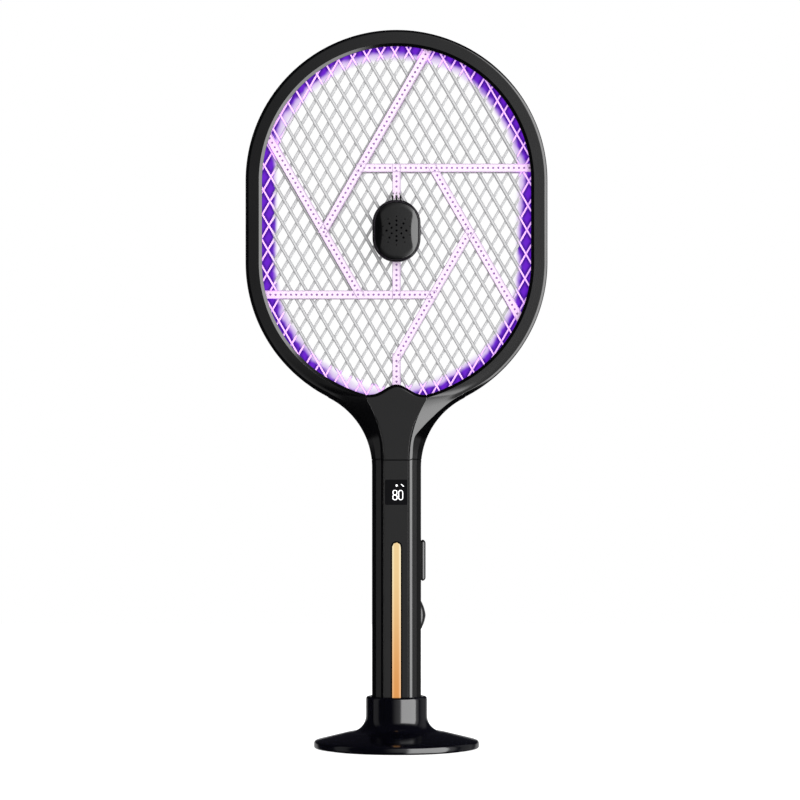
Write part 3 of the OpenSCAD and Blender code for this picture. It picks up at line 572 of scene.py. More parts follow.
def panelGrid():
    # the flat middle panel: columns spread with its width, the top row follows the hump's edge
    t = np.concatenate([[-1], np.linspace(-0.985, 0.985, 61), [1]])
    seam, bendZ, top = layout["seamZ"], shell["bendZ"], shell["panelTop"]
    zs = np.concatenate([np.linspace(layout["footZ"], seam - 0.45, 60), seamRows,
                         np.linspace(seam + 1, bendZ, 14)])
    half = neckPanel(zs) - shell["grooveW"]
    lower = np.stack([t[None, :] * half[:, None], np.broadcast_to(zs[:, None], (len(zs), len(t)))], -1)
    edgeX = t * shell["edgeX"]
    edge = np.stack([edgeX, humpCurve(edgeX)], -1)
    slope = np.gradient(edge[:, 1], edge[:, 0])
    normal = np.stack([-slope, np.ones(len(t))], -1)
    normal /= np.linalg.norm(normal, axis=1, keepdims=True)
    face = edge - normal * shell["bevelW"]
    bend = np.linspace(0, 1, 30)[1:, None]
    width = neckPanel(bendZ + (shell["faceTop"] - bendZ) * bend) - shell["grooveW"]
    x = t[None, :] * width * (1 - bend ** 3) + face[None, :, 0] * bend ** 3
    z = bendZ + (face[None, :, 1] - bendZ) * bend
    flat = np.concatenate([lower, np.stack([x, z], -1)], 0)
    deep = layout["handleDepth"] - (layout["handleDepth"] - top) * smooth(flat[..., 1], seam, 250)
    rows = np.stack([flat[..., 0], -deep, flat[..., 1]], -1)

    def strip(xz, y):
        return np.stack([xz[:, 0], np.full(len(t), -y), xz[:, 1]], -1)[None]
    rim = top - shell["bevelD"]
    crown = [strip(face + normal * 0.12, top - 0.02), strip(face + normal * 0.3, top - 0.08),
             strip(edge - normal * 0.3, rim + 0.12), strip(edge, rim - 0.2), strip(edge, rim - 0.6),
             strip(edge, shell["lipFloor"])]
    rows = np.concatenate([rows, *crown], 0)
    # the panel's long edges turn down into the groove
    side = rows[:, [0, 0, 0]].copy()
    side[:, 0, 1] += shell["grooveD"] + 0.5
    side[:, 1, 1] += 0.35
    side[:, 2, 1] += 0.08
    other = rows[:, [-1, -1, -1]].copy()
    other[:, 0, 1] += 0.08
    other[:, 1, 1] += 0.35
    other[:, 2, 1] += shell["grooveD"] + 0.5
    rows[:, 0, 0] += 0.1
    rows[:, -1, 0] -= 0.1
    rows = np.concatenate([side, rows, other], 1)
    dent = np.exp(-((rows[..., 2] - seam) / 0.22) ** 4)[..., None]
    return rows * (1 - dent * np.array([0.0, 0.03, 0.0]))


def splitAt(rows, heights, part):
    # the rows below or above the seam, both with the row on it
    cut = int(np.argmin(np.abs(heights[:200] - layout["seamZ"])))
    return rows[:cut + 1] if part == "low" else rows[cut:]


arm, armZ = armRows()
panel = panelGrid()


def shellPatch(part, rear):
    # the right arm, its mirror image and the middle panel, all turned round for the rear
    patch = Patch()
    turn = np.array([1, -1 if rear else 1, 1])
    rows = splitAt(arm, armZ, part) * turn
    patch.grid(rows, flip=not rear)
    patch.grid(rows * np.array([-1, 1, 1]), flip=rear)
    patch.grid(splitAt(panel, panel[:, 40, 2], part) * turn, flip=rear)
    return patch


for part, rear, name, node in (("high", False, "neck_and_frame_front", "front_frame"),
                               ("high", True, "neck_and_frame_rear", "rear_frame"),
                               ("low", False, "grip_front", "front_shell"),
                               ("low", True, "grip_rear", "rear_shell")):
    shellPatch(part, rear).build(name, mats["shell_black"], "racket", "shell_black", [node])
print("shells made")


def netStrips(patch, family, y0, y1, core, wide, look):
    # parallel strips with bevelled edges, each cut to the head's outline
    slope, pitch, phase = nets[family]
    a = math.radians(slope)
    along, across = np.array([math.cos(a), math.sin(a)]), np.array([-math.sin(a), math.cos(a)])
    t = np.linspace(-180, 180, 3601)
    count = int(170 / pitch)
    for i in range(-count, count + 1):
        base = np.array([0, layout["patternZ"]]) + across * (i * pitch + phase)
        pts = base + t[:, None] * along
        past = pts[:, 1] - np.clip(pts[:, 1], layout["lowZ"], layout["highZ"])
        inside = pts[:, 0] ** 2 + past ** 2 < nets["radius"] ** 2
        inside &= ~((np.abs(pts[:, 0]) < shell["humpFoot"]) & (pts[:, 1] < humpCurve(pts[:, 0]) - 1.5))
        if inside.sum() < 40:
            continue
        ends = base + np.array([t[inside][0], t[inside][-1]])[:, None] * along
        h, d = wide / 2, y1 - y0
        shape = [(-h, y0 + d * 0.7), (-h, y0 + d * 0.3), (-core, y0 + d * 0.12), (-core + 0.06, y0),
                 (core - 0.06, y0), (core, y0 + d * 0.12), (h, y0 + d * 0.3), (h, y0 + d * 0.7), (core, y1),
                 (-core, y1)]
        ring = np.array([[(e[0] + across[0] * w, y, e[1] + across[1] * w) for w, y in shape] for e in ends])
        # the front face takes the first finish, the bevels, sides and back a darker copy: painted shade
        patch.grid(ring, closeV=True, flip=True, kinds=[look[k] for k in (1, 1, 0, 0, 0, 1, 1, 1, 1, 1)])


def netPiece(name, layers, material, node):
    # a layer is a direction, front and back depth, half the core's width, full width, material numbers
    patch = Patch()
    for layer in layers:
        netStrips(patch, *layer)
    return patch.build(name, [mats[k] for k in material], "racket", "net_metal", [node], flat=True)


netPiece("net_front", [("rise", -6.6, -6.02, 0.6, 2.05, (2, 3)), ("fall", -7.18, -6.6, 0.55, 2.3, (0, 1))],
         ("net_core", "net_edge_shaded", "net_plain", "net_side_shaded"), "front_net")
netPiece("net_rear", [("rise", 6.02, 6.6, 0.45, 1.3, (0, 0)), ("fall", 6.6, 7.18, 0.5, 1.5, (0, 0))],
         ("net_plain",), "rear_net")
netPiece("net_middle", [("fall", -0.55, 0.55, 0.5, 1.5, (0, 0))], ("net_plain",), "hv_net")
print("nets made")


def stadium(r, n=240):
    # the head's outline at radius r as n points: right side, top end, left side, bottom end
    low, high = layout["lowZ"], layout["highZ"]
    straight, arc = high - low, math.pi * r
    s = np.linspace(0, 2 * straight + 2 * arc, n, endpoint=False)
    top, left, bottom = s - straight, s - straight - arc, s - 2 * straight - arc
    parts = [top < 0, left < 0, bottom < 0]
    x = np.select(parts, [r + 0 * s, r * np.cos(top / r), -r + 0 * s], -r * np.cos(bottom / r))
    z = np.select(parts, [low + s, high + r * np.sin(top / r), high - left], low - r * np.sin(bottom / r))
    return np.stack([x, z], -1)


def ringPatch(radii, depths):
    # rings at the given radii and depths, joined in order
    unit = stadium(100.0, 300)
    centre = np.stack([np.zeros(300), np.clip(unit[:, 1], layout["lowZ"], layout["highZ"])], -1)
    outward = (unit - centre) / 100.0
    rings = []
    for r, y in zip(radii, depths):
        place = centre + outward * r
        rings.append(np.stack([place[:, 0], np.full(300, y), place[:, 1]], -1))
    return np.stack(rings, 0)


ringShape = {"radii": [101.5, 97, 93, 89, 86, 84.9, 84.4, 84.4, 84.9, 88, 101.5],
             "depths": [-5.9, -5.9, -5.9, -5.85, -5.75, -5.6, -5.4, -4.7, -4.4, -4.3, -4.3]}
lightRing = Patch().grid(ringPatch(**ringShape), closeV=True, flip=True)
lightRing.build("light_ring", mats["glow_violet"], "racket", "glow_violet", ["uv_ring"])


ribs = {
    "reach": 45.5, "half": 3.0, "faceY": 9.0, "rim": 0.45, "sink": 0.35, "footY": 7.25, "cutR": 99.0,
    "dotPitch": 3.7, "dotR": 0.72, "podTop": 29.9, "podFoot": 21, "seatW": 32.5, "seatH": 42.5, "seatR": 16,
    # height, half the spread and front face of the two prongs that carry the pod's hinge
    "prong": ((400.4, 0.95, 9.0), (399.4, 1.05, 10.5), (398.0, 1.25, 13.4), (396.9, 1.45, 15.3),
              (395.7, 1.6, 15.65), (394.9, 1.6, 15.1)),
}


def ribLines():
    # end points of every bar's middle line: six run on from the sides of a hexagon, three are upright
    side = 2 * ribs["reach"] / math.sqrt(3)
    lines = []
    for k in range(6):
        a = math.radians(60 * k)
        u, v = np.array([math.cos(a), math.sin(a)]), np.array([-math.sin(a), math.cos(a)])
        c = np.array([0, layout["patternZ"]]) + v * ribs["reach"]
        far = 2 * side if k == 4 else 260.0
        t = np.linspace(-side / 2, -side / 2 + far, 4000)
        pts = c + t[:, None] * u
        past = pts[:, 1] - np.clip(pts[:, 1], layout["lowZ"], layout["highZ"])
        t = t[pts[:, 0] ** 2 + past ** 2 < ribs["cutR"] ** 2]
        lines.append((c + u * t[0], c + u * t[-1]))
    mid = layout["patternZ"]
    foot, tip = layout["lowZ"] - layout["openR"] + shell["humpTop"] - 1.0, mid - side * math.sqrt(3)
    for low, high in ((foot, tip + 1), (mid - ribs["reach"], mid - ribs["podFoot"]),
                      (mid + ribs["podTop"], mid + ribs["reach"])):
        lines.append((np.array([0, low]), np.array([0, high])))
    return lines


def ribBars(patch, turn):
    # a channel profile with raised edges, carried along every bar
    r = ribs
    f, s, h = r["faceY"], r["faceY"] - r["sink"], r["half"]
    inner = h - r["rim"]
    shape = [(-h, r["footY"]), (-h, f - 0.3), (-h + 0.12, f - 0.06), (-inner - 0.08, f), (-inner + 0.12, s),
             (0, s), (inner - 0.12, s), (inner + 0.08, f), (h - 0.12, f - 0.06), (h, f - 0.3),
             (h, r["footY"])]
    for i, (a, b) in enumerate(ribLines()):
        low = 0.05 * (i % 2) if i < 6 else 0.1  # crossing bars differ a hair in height
        u = (b - a) / np.linalg.norm(b - a)
        v = np.array([-u[1], u[0]])
        ends = [a - u * 2.6, b + u * (2.6 if np.hypot(*(b - [0, layout["patternZ"]])) < 95 else 0)]
        ring = np.array([[(e[0] + v[0] * w, (low - y) * turn, e[1] + v[1] * w) for w, y in shape]
                         for e in ends])
        # the rims and outer sides take the second, darker finish: painted shade
        patch.grid(ring, closeV=True, flip=turn > 0, kinds=[1, 1, 1, 0, 0, 0, 0, 1, 1, 1, 0])
        for k in (0, 1):
            patch.fan(ring[k], ring[k].mean(0, keepdims=True), flip=(turn > 0) == (k == 1))


def ribSeat(patch, turn):
    # the rounded plate that the pod stands on, with a raised edge
    f, s, z = ribs["faceY"], ribs["faceY"] - ribs["sink"], layout["patternZ"]
    seat = [frontLoop(ribs["seatW"], ribs["seatH"], ribs["seatR"], inset, -y * turn, 0, z)
            for inset, y in ((0, ribs["footY"]), (0, f - 0.2), (0.2, f), (0.9, f), (1.2, s), (6, s))]
    patch.grid(np.stack(seat, 0), closeV=True, flip=turn < 0)
    patch.fan(seat[-1], np.array([[0, -s * turn, z]]), flip=turn < 0)


def hingeProngs(patch):
    # a bevelled bar section carried down each prong, which spreads and stands further forward
    for side in (-1, 1):
        rings = np.array([[(side * (x + w), -y, z)
                           for w, y in ((-0.7, 8.7), (-0.7, front - 0.2), (-0.55, front), (0.55, front),
                                        (0.7, front - 0.2), (0.7, 8.7))] for z, x, front in ribs["prong"]])
        patch.grid(rings, closeV=True, flip=side > 0)
        for k in (0, -1):
            patch.fan(rings[k], rings[k].mean(0, keepdims=True), flip=(side > 0) == (k == -1))


for turn, name, node in ((1, "ribs_front", "front_ribs"), (-1, "ribs_rear", "rear_ribs")):
    frameRibs = Patch()
    ribBars(frameRibs, turn)
    ribSeat(frameRibs, turn)
    if turn > 0:
        hingeProngs(frameRibs)
    frameRibs.build(name, [mats["rib_white"], mats["rib_edge_shaded"]], "racket", "rib_white", [node], flat=True)


def dots(name, turn):
    # small dark cups in a row along every bar, each a raised lip round a sunken middle
    patch = Patch()
    n = 10
    a = np.linspace(0, 2 * math.pi, n, endpoint=False)
    s = ribs["faceY"] - ribs["sink"]
    headMid, headHalf = (layout["lowZ"] + layout["highZ"]) / 2, (layout["highZ"] - layout["lowZ"]) / 2
    for start, end in ribLines():
        length = np.linalg.norm(end - start)
        u = (end - start) / length
        count = int((length - 4) / ribs["dotPitch"])
        for i in range(count + 1):
            c = start + u * (length / 2 + (i - count / 2) * ribs["dotPitch"])
            if np.hypot(c[0], max(abs(c[1] - headMid) - headHalf, 0)) > ribs["cutR"] - 1:
                continue
            rings = [np.stack([c[0] + ribs["dotR"] * k * np.cos(a), np.full(n, -(s + y) * turn),
                               c[1] + ribs["dotR"] * k * np.sin(a)], -1)
                     for k, y in ((1.12, -0.05), (1.06, 0.07), (0.95, 0.07), (0.88, 0.02))]
            patch.grid(np.stack(rings, 0), closeV=True, flip=turn < 0)
            patch.fan(rings[-1], np.array([[c[0], -(s + 0.02) * turn, c[1]]]), flip=turn < 0)
    return patch.build(name, mats["pit"], "racket", "rib_white")


dots("rib_dots_front", 1)
dots("rib_dots_rear", -1)
print("ribs made")


pod = {"w": 34.5, "h": 44.5, "r": 17.0, "z": 372.09, "top": 20.9, "back": 14.3, "sideAt": 10.4,
       "sideSlope": 0.33, "wall": 1.6, "hollow": 18.0, "pinY": -14.15, "pinZ": 396.19,
       # radius, count and hole radius of each circle of scent holes
       "holes": ((4.0, 6, 0.78), (7.1, 8, 0.82), (10.2, 10, 0.45))}


def podLoop(inset, y):
    # the pod's outline, a rounded rectangle drawn in by inset, at depth y
    return frontLoop(pod["w"], pod["h"], pod["r"], inset, y, 0, pod["z"], 120)


def pinBarrel(patch, prof, flip):
    # a short round barrel on the hinge pin: prof lists place along the pin and radius
    a = np.linspace(0, 2 * math.pi, 28, endpoint=False)
    rings = np.stack([np.stack([np.full(28, x), pod["pinY"] + r * np.cos(a), pod["pinZ"] + r * np.sin(a)], -1)
                      for x, r in prof], 0)
    patch.grid(rings, closeV=True, flip=flip)
    for k in (0, -1):
        patch.fan(rings[k], np.array([[prof[k][0], pod["pinY"], pod["pinZ"]]]), flip=(k == 0) != flip)


def podLid():
    # rings of the outline shrink to the middle; the face falls away past a bowed line on either side
    patch = Patch()
    zc, back = pod["z"], pod["back"]

    def face(x, z):
        # depth of the lid's face: flat in the middle, falling past the bowed line and towards both ends
        past = np.abs(x) - (pod["sideAt"] + 0.011 * (z - zc) ** 2)
        soft = np.where(past > 0, past, 0) ** 2 / (np.abs(past) + 0.35)
        up = np.clip(np.abs(z - zc) - 15.5, 0, None)
        return -(pod["top"] - pod["sideSlope"] * soft - 0.02 * up ** 2 - 0.0014 * x ** 2)
    rings = [podLoop(0.0, -back)]
    for inset, drop in ((0.0, 4.2), (0.05, 3.7), (0.3, 2.95), (0.8, 2.3), (1.4, 1.9)):
        p = podLoop(inset, 0)
        p[:, 1] = -back - 0.6 + (face(p[:, 0], p[:, 2]) + back + 0.6) * (1 - drop / 6.6 * 0.9)
        rings.append(p)
    base = podLoop(1.6, 0)
    centre = np.array([0, 0, zc])
    for k in np.linspace(1, 0.03, 26):
        p = centre + (base - centre) * k
        p[:, 1] = face(p[:, 0], p[:, 2]) + 0.32 * smooth(k, 0.86, 1.0)
        rings.append(p)
    patch.grid(np.stack(rings, 0), closeV=True)
    patch.fan(rings[-1], np.array([[0, face(0.0, zc), zc]]))
    inner = [podLoop(0.0, -back), podLoop(pod["wall"], -back), podLoop(pod["wall"] + 0.1, -pod["hollow"])]
    patch.grid(np.stack(inner, 0), closeV=True, flip=True)
    patch.fan(inner[-1], np.array([[0, -pod["hollow"], zc]]), flip=True)
    # ears on the hinge pin, each with a bridge down to the lid
    for side in (-1, 1):
        prof = [(side * x, r) for x, r in ((2.35, 1.4), (2.5, 1.6), (3.45, 1.6), (3.6, 1.35))]
        pinBarrel(patch, prof, side < 0)
        bridge = np.array([[(side * x, y, z)
                            for x, y in ((2.35, -15.4), (3.6, -15.4), (3.6, -17.6), (2.35, -17.6))]
                           for z in (392.6, 395.4, 396.6)])
        bridge[2, 2:, 1] += 1.4
        patch.grid(bridge, closeV=True, flip=side > 0)
        patch.fan(bridge[2], bridge[2].mean(0, keepdims=True), flip=side > 0)
    return patch.build("pod_cover", mats["pod_black"], "pod_lid", "pod_black", ["pod_lid"])


podLid()


def scentHoles():
    # each hole is a small dark cup with a soft lip, its dull near-black painted shade for the hole's inside:
    # one in the middle and circles of them round it
    patch = Patch()
    n = 16
    a = np.linspace(0, 2 * math.pi, n, endpoint=False)
    spots = [(0, 0, 0.8)]
    for radius, count, size in pod["holes"]:
        turns = [math.radians(360 / count * k) for k in range(count)]
        spots += [(radius * math.sin(t), radius * math.cos(t), size) for t in turns]
    for x, z, r in spots:
        past = max(abs(x) - pod["sideAt"] - 0.011 * z ** 2, 0)
        y = -(pod["top"] - pod["sideSlope"] * past * past / (past + 0.35) - 0.0014 * x * x)
        rings = [np.stack([x + r * k * np.cos(a), np.full(n, y + d), pod["z"] + z + r * k * np.sin(a)], -1)
                 for k, d in ((1.0, 0.05), (1.0, -0.02), (0.94, -0.03))]
        patch.grid(np.stack(rings, 0), closeV=True)
        patch.fan(rings[-1], np.array([[x, y - 0.03, pod["z"] + z]]))
    return patch.build("pod_holes", mats["hole"], "pod_lid", "pod_black")


scentHoles()


def podTray():
    # the outline carried forward from the ribs' seat, over the rim and down to the tray's floor
    patch = Patch()
    rings = [podLoop(inset, -y) for inset, y in ((0.0, 9.0), (0.0, 10.0), (0.0, 13.4), (0.25, 13.9),
                                                 (0.6, 14.0), (1.5, 14.0), (1.7, 13.8), (1.7, 10.7))]
    patch.grid(np.stack(rings, 0), closeV=True)
    patch.fan(rings[-1], np.array([[0, -10.7, pod["z"]]]))
    pinBarrel(patch, ((-0.7, 1.4), (-0.6, 1.6), (0.6, 1.6), (0.7, 1.4)), False)
    post = np.array([[(x, y, z) for x, y in ((-0.7, -14.2), (0.7, -14.2), (0.7, -9.2), (-0.7, -9.2))]
                     for z in (393.0, 395.0, 396.2)])
    patch.grid(post, closeV=True)
    patch.fan(post[-1], post[-1].mean(0, keepdims=True))
    return patch.build("pod_base", mats["pod_black"], "racket", "pod_black", ["pod_tray"])


podTray()
print("pod made")


def plate(name, w, h, r, cz, prof, material, slot, stands=()):
    # a rounded plate on the handle's front: prof lists how far in and how deep each ring lies
    patch = Patch()
    rings = np.stack([frontLoop(w, h, r, inset, -y, 0, cz) for inset, y in prof], 0)
    patch.grid(rings, closeV=True)
    patch.fan(rings[-1], np.array([[0, -prof[-1][1], cz]]))
    return patch.build(name, material, "racket", slot, stands)


display = {
    "w": 16.2, "h": 18.0, "r": 0.9, "z": 185.0, "face": 16.66,
    # width, height, corner radius, centre across, centre up, line width and lift of every rounded loop
    "loops": ((3.3, 3.7, 1.3, -1.1, 184.7, 0.55, 0.0), (3.5, 3.9, 1.4, -1.1, 181.3, 0.55, 0.005),
              (3.5, 7.2, 1.7, 3.0, 182.95, 0.58, 0.0), (1.5, 1.5, 0.74, 0.1, 189.8, 0.7, 0.0)),
    "tickX": 3.5, "tickZ": 190.7, "tickRun": 1.6, "tickFall": 1.7, "tickHalf": 0.45,
}
plate("display_glass", display["w"], display["h"], display["r"], display["z"],
      ((0, 15.6), (0, 16.5), (0.12, 16.6), (0.4, 16.62)), mats["window_black"], "window_black",
      ["display_window"])


def digits():
    # an 8 and a 0 as rounded loops, with a dot and a slanted tick above
    patch = Patch()
    for w, h, r, cx, cz, line, lift in display["loops"]:
        y = display["face"] + lift
        rings = [frontLoop(w, h, r, inset, -deep, cx, cz, 40)
                 for inset, deep in ((0, y - 0.03), (0.06, y), (line - 0.06, y), (line, y - 0.03))]
        patch.grid(np.stack(rings, 0), closeV=True)
    t, w = np.meshgrid([0, 0.5, 1], [-1, 1], indexing="ij")
    tick = np.stack([display["tickX"] + t * display["tickRun"] + w * display["tickHalf"],
                     -display["face"] + 0 * t, display["tickZ"] - t * display["tickFall"]], -1)
    patch.grid(tick, flip=True)
    return patch.build("display_digits", mats["digit"], "racket", "display_white")


digits()
# the groove round the light bar is a thin, nearly flush dull near-black plate: painted shade for a recess
plate("light_groove", lightBar["grooveW"], lightBar["grooveH"], lightBar["grooveR"], lightBar["z"],
      ((0, 16.3), (0, 16.5), (0.12, 16.56), (0.3, 16.53)), mats["hole"], "shell_black")
plate("light_bar", lightBar["w"], lightBar["h"], lightBar["r"], lightBar["z"],
      ((0, 16.0), (0, 16.55), (0.25, 16.72), (0.8, 16.82), (1.6, 16.84)), mats["light_warm"], "light_warm",
      ["light_strip"])


def sideLoop(length, thick, r, inset, x, cz, n=96):
    # a rounded rectangle on the handle's right side, facing +X
    p, nrm = roundedLoop(thick, length, r, n)
    q = p - nrm * inset
    return np.stack([np.full(n, x), q[:, 0], q[:, 1] + cz], -1)


# prof lists how far in from the outline and how far out from the middle each ring lies
button = {"z": 135.7, "len": 29.5, "thick": 9.0, "r": 2.4,
          "prof": ((0.5, 16.4), (0.5, 18.1), (0.1, 18.35), (0, 18.6), (0.05, 19.1), (0.3, 19.7),
                   (0.75, 20.25), (1.35, 20.65), (2.2, 20.9)),
          "seat": ((-1.3, 16.0), (-1.3, 17.55), (-1.1, 17.66), (-0.6, 17.68), (-0.35, 17.6), (-0.3, 16.6))}


def buttonRings(prof):
    # the button's outline, a rounded rectangle, drawn in and moved out ring by ring
    return np.stack([sideLoop(button["len"], button["thick"], button["r"], inset, x, button["z"])
                     for inset, x in prof], 0)


pushPatch = Patch().grid(buttonRings(button["prof"]), closeV=True)
pushPatch.fan(buttonRings(button["prof"])[-1], np.array([[button["prof"][-1][1], 0, button["z"]]]))
pushPatch.build("press_button", mats["control_black"], "zap_button", "control_black", ["zap_button"])
# the raised seat moulded round the button is part of the handle
seatPatch = Patch().grid(buttonRings(button["seat"]), closeV=True)
seatPatch.build("button_seat", mats["shell_black"], "racket", "shell_black")

knob = {"z": 96.2, "half": 9.8, "base": 17.66, "edge": 0.25, "peak": 3.0, "endHalf": 3.8, "swell": 2.4,
        # place across and share of the height, from the edge to near the middle
        "side": ((1.0, 0.0), (0.96, 0.13), (0.91, 0.29), (0.86, 0.43), (0.78, 0.52), (0.6, 0.72),
                 (0.4, 0.89), (0.2, 0.97))}


def slideKnob():
    # the height along the knob is 1 less a power of the distance from its middle, and so is its width
    z = np.linspace(-knob["half"], knob["half"], 57)
    rise = (1 - (np.abs(z) / knob["half"]) ** 1.45) ** 0.9
    width = knob["endHalf"] + knob["swell"] * rise ** 0.6
    section = [(-y, up) for y, up in knob["side"]] + [(0, 1.0)] + list(knob["side"][::-1])
    rows = [np.stack([knob["base"] + up * (knob["edge"] + knob["peak"] * rise), y * width, knob["z"] + z], -1)
            for y, up in section]
    patch = Patch().grid(np.stack(rows, 0), flip=True)
    return patch.build("slide_knob", mats["control_black"], "mode_knob", "control_black", ["mode_knob"])


slideKnob()
print("controls made")


dock = {
    # radius and height of the rim and the disc's slope, from the underside inwards
    "profile": ((58.4, 0.85), (59.0, 1.1), (59.4, 1.8), (59.4, 4.3), (59.2, 5.1), (58.7, 5.8),
                (57.8, 6.25), (50, 8.25), (42, 10.25), (36, 11.75)),
    "cove": 12.0, "slopeR": 34.0, "discTop": 12.2, "collarR": 22.0, "collarTop": 38.0, "floor": 13.7,
    "grip": ((17.6, 0), (17.6, 8.5), (14.63, 12.4), (11.6, 15.6), (8.7, 16.5), (0, 16.5)),
}


def gripRadius(a, grow):
    # distance from the middle, in direction a, to the nearest of the grip's sides moved out by grow
    c = dock["grip"]
    x, y = np.abs(np.cos(a)), np.abs(np.sin(a))
    best = np.full(len(a), 1e9)
    for (x0, y0), (x1, y1) in zip(c[:-1], c[1:]):
        nx, ny = y1 - y0, x0 - x1
        d = (nx * x0 + ny * y0) / math.hypot(nx, ny) + grow
        nx, ny = nx / math.hypot(nx, ny), ny / math.hypot(nx, ny)
        best = np.minimum(best, d / np.maximum(nx * x + ny * y, 1e-6))
    return best


def dockShell():
    # one profile turned round the upright axis: rim, slope, a quarter circle up to the collar, its rolled
    # edge, and the socket inside, whose rings follow the grip's outline
    n = 256
    a = np.linspace(0, 2 * math.pi, n, endpoint=False)
    prof = list(dock["profile"])
    cove = dock["cove"]
    for t in np.radians(np.arange(2, 90, 6)):
        prof.append((dock["slopeR"] - cove * math.sin(t), dock["discTop"] + cove * (1 - math.cos(t))))
    r, top = dock["collarR"], dock["collarTop"]
    prof += [(r, 26), (r, 31)]
    prof += [(r - d, top - h) for d, h in ((0, 2.2), (0.12, 1.3), (0.5, 0.6), (1.1, 0.15), (1.8, 0))]
    rings = [np.stack([q * np.cos(a), q * np.sin(a), np.full(n, z)], -1) for q, z in prof]
    for grow, z in ((0.9, top), (0.55, top - 0.15), (0.35, top - 0.6), (0.3, top - 1.5), (0.3, 26),
                    (0.3, dock["floor"])):
        g = np.minimum(gripRadius(a, grow), r - 1.5)
        rings.append(np.stack([g * np.cos(a), g * np.sin(a), np.full(n, z)], -1))
    patch = Patch().grid(np.stack(rings, 0), closeV=True)
    patch.fan(rings[-1], np.array([[0, 0, dock["floor"]]]))
    return patch.build("dock_body", mats["dock_black"], "dock", "dock_black", ["dock_shell"])


dockShell()


socket = {"w": 9.0, "h": 3.2, "r": 1.59, "z": 3.6, "back": 57.5,
          "prof": ((-0.5, 58.2), (-0.5, 59.3), (-0.35, 59.42), (0.0, 59.45), (0.15, 59.4), (0.25, 58.9),
                   (0.25, 57.5)),
          "tongueHalf": 3.2, "tongueLow": 3.2, "tongueHigh": 4.0}


def port():
    # the charging socket at the back of the rim: a bright rolled edge round a dark mouth with a tongue
    patch = Patch()
    rings = [frontLoop(socket["w"], socket["h"], socket["r"], inset, y, 0, socket["z"], 64)
             for inset, y in socket["prof"]]
    patch.grid(np.stack(rings, 0), closeV=True)
    patch.fan(rings[-1], np.array([[0, socket["back"], socket["z"]]]))
    half, low, high = socket["tongueHalf"], socket["tongueLow"], socket["tongueHigh"]
    tongue = np.array([[(x, y, z) for x, z in ((-half, low), (half, low), (half, high), (-half, high))]
                       for y in (57.5, 58.8, 58.9)])
    patch.grid(tongue, closeV=True, flip=True)
    patch.fan(tongue[-1], tongue[-1].mean(0, keepdims=True), flip=True)
    return patch.build("charge_port", mats["steel"], "dock", "steel", ["charge_inlet"])


port()
print("dock made")


slotOf = {part["node"]: part["material_slot"] for part in frame["record"]["subparts"]}
for name, obj in frame["nodes"].items():
    obj.data.materials.clear()
    obj.data.materials.append(mats[slotOf[name]])
    obj.data.polygons.foreach_set("material_index", np.zeros(len(obj.data.polygons), np.int32))


stageLook = {"floorGlow": 0.95, "floorGrey": 0.3, "front": 0.55, "box": 6.6, "left": 0.3, "over": 0.015,
             "behind": 0.26, "rear": 0.45, "even": 1.5}


def makeFloor():
    # a plain pale square that lights itself and isn't seen in reflections
    mesh = bpy.data.meshes.new("floor")
    s = 1.6
    mesh.from_pydata([(-s, -s, 0), (s, -s, 0), (s, s, 0), (-s, s, 0)], [], [(0, 1, 2, 3)])
    m, _, shader, _ = newMaterial("floor_pale")
    shader.inputs["Base Color"].default_value = (*(stageLook["floorGrey"],) * 3, 1)
    shader.inputs["Roughness"].default_value = 0.9
    shader.inputs["Specular IOR Level"].default_value = 0.0
    shader.inputs["Emission Color"].default_value = (1, 1, 1, 1)
    shader.inputs["Emission Strength"].default_value = stageLook["floorGlow"]
    mesh.materials.append(m)
    obj = bpy.data.objects.new("floor", mesh)
    bpy.context.scene.collection.objects.link(obj)
    obj.visible_glossy = False
    obj.visible_diffuse = False
    obj.visible_transmission = False


makeFloor()


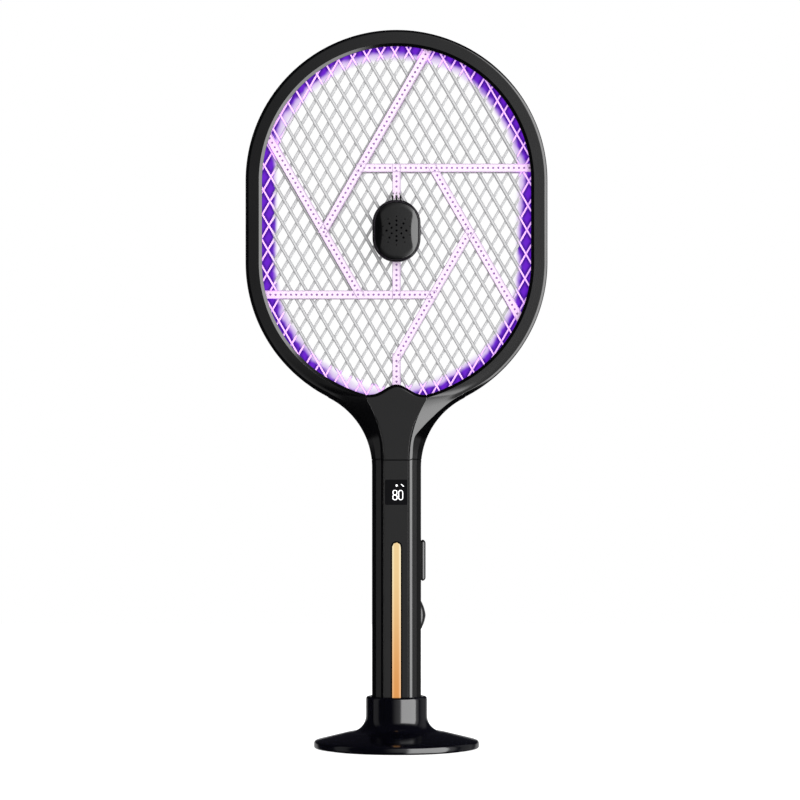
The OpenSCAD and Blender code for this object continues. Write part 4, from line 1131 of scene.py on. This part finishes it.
def makeWorld():
    # studio light by direction: a tall soft box on the right, a dim front, dark above and left
    world = bpy.data.worlds.new("studio")
    bpy.context.scene.world = world
    world.use_nodes = True
    tree = world.node_tree
    tree.nodes.clear()
    coords = tree.nodes.new("ShaderNodeTexCoord")
    d = Wire(tree, coords.outputs["Generated"])
    parts = tree.nodes.new("ShaderNodeSeparateXYZ")
    plug(tree, d, parts.inputs[0])
    x, y, z = (Wire(tree, parts.outputs[k]) for k in range(3))
    azimuth = d.maths("ARCTAN2", x, 0.0 - y) * (180 / math.pi)
    height = d.maths("ARCSINE", z) * (180 / math.pi)
    box = azimuth.ramp(13.0, 21.0) * azimuth.ramp(75.0, 80.0, 1.0, 0.0)
    box = box * height.ramp(-54.0, -46.0) * height.ramp(30.0, 38.0, 1.0, 0.0)
    level = height.ramp(-35.0, -15.0) * height.ramp(30.0, 50.0, 1.0, 0.0)
    front = azimuth.ramp(-20.0, 7.0) * (azimuth.ramp(3.0, 12.0) * 0.25 + 1.0)
    front = front * azimuth.ramp(84.0, 98.0, 1.0, 0.0)
    left = azimuth.ramp(-76.0, -68.0, 1.0, 0.0) * azimuth.ramp(-99.0, -94.0)
    behind = azimuth.ramp(98.0, 104.0) * azimuth.ramp(125.0, 145.0, 1.0, 0.0)
    # a low, weak light far behind shows the back's facets
    rear = azimuth.maths("ABSOLUTE", azimuth).ramp(138.0, 150.0)
    rear = rear * height.ramp(-34.0, -26.0) * height.ramp(2.0, 7.0, 1.0, 0.0)
    around = front * (stageLook["front"] * 1.35) + left * stageLook["left"] + behind * stageLook["behind"]
    light = stageLook["over"] + rear * stageLook["rear"] + level * around + box * stageLook["box"]
    tone = tree.nodes.new("ShaderNodeCombineXYZ")
    plug(tree, light, tone.inputs[0])
    plug(tree, light, tone.inputs[1])
    plug(tree, light + 0.006, tone.inputs[2])
    seen = tree.nodes.new("ShaderNodeLightPath")
    camera = Wire(tree, seen.outputs["Is Camera Ray"])
    lit = tree.nodes.new("ShaderNodeBackground")
    plug(tree, Wire(tree, tone.outputs[0]), lit.inputs[0])
    # matt surfaces get an even light from all sides instead
    even = tree.nodes.new("ShaderNodeBackground")
    even.inputs[0].default_value = (1, 1, 1, 1)
    even.inputs[1].default_value = stageLook["even"]
    matt = tree.nodes.new("ShaderNodeMixShader")
    plug(tree, Wire(tree, seen.outputs["Is Diffuse Ray"]), matt.inputs[0])
    tree.links.new(lit.outputs[0], matt.inputs[1])
    tree.links.new(even.outputs[0], matt.inputs[2])
    white = tree.nodes.new("ShaderNodeBackground")
    white.inputs[0].default_value = (1, 1, 1, 1)
    white.inputs[1].default_value = 1.0
    mix = tree.nodes.new("ShaderNodeMixShader")
    plug(tree, camera, mix.inputs[0])
    tree.links.new(matt.outputs[0], mix.inputs[1])
    tree.links.new(white.outputs[0], mix.inputs[2])
    out = tree.nodes.new("ShaderNodeOutputWorld")
    tree.links.new(mix.outputs[0], out.inputs[0])


makeWorld()
bpy.context.scene.view_settings.view_transform = "Standard"
bpy.context.scene.view_settings.look = "None"

eye = {"place": (0.0025, -2.9, 0.251), "field": 11.34}
camData = bpy.data.cameras.new("camera")
camData.lens = 18 / math.tan(math.radians(eye["field"] / 2))
camData.clip_end = 50
cam = bpy.data.objects.new("camera", camData)
cam.location = eye["place"]
cam.rotation_euler = (math.radians(90), 0, 0)
bpy.context.scene.collection.objects.link(cam)
bpy.context.scene.camera = cam

bpy.context.view_layer.update()
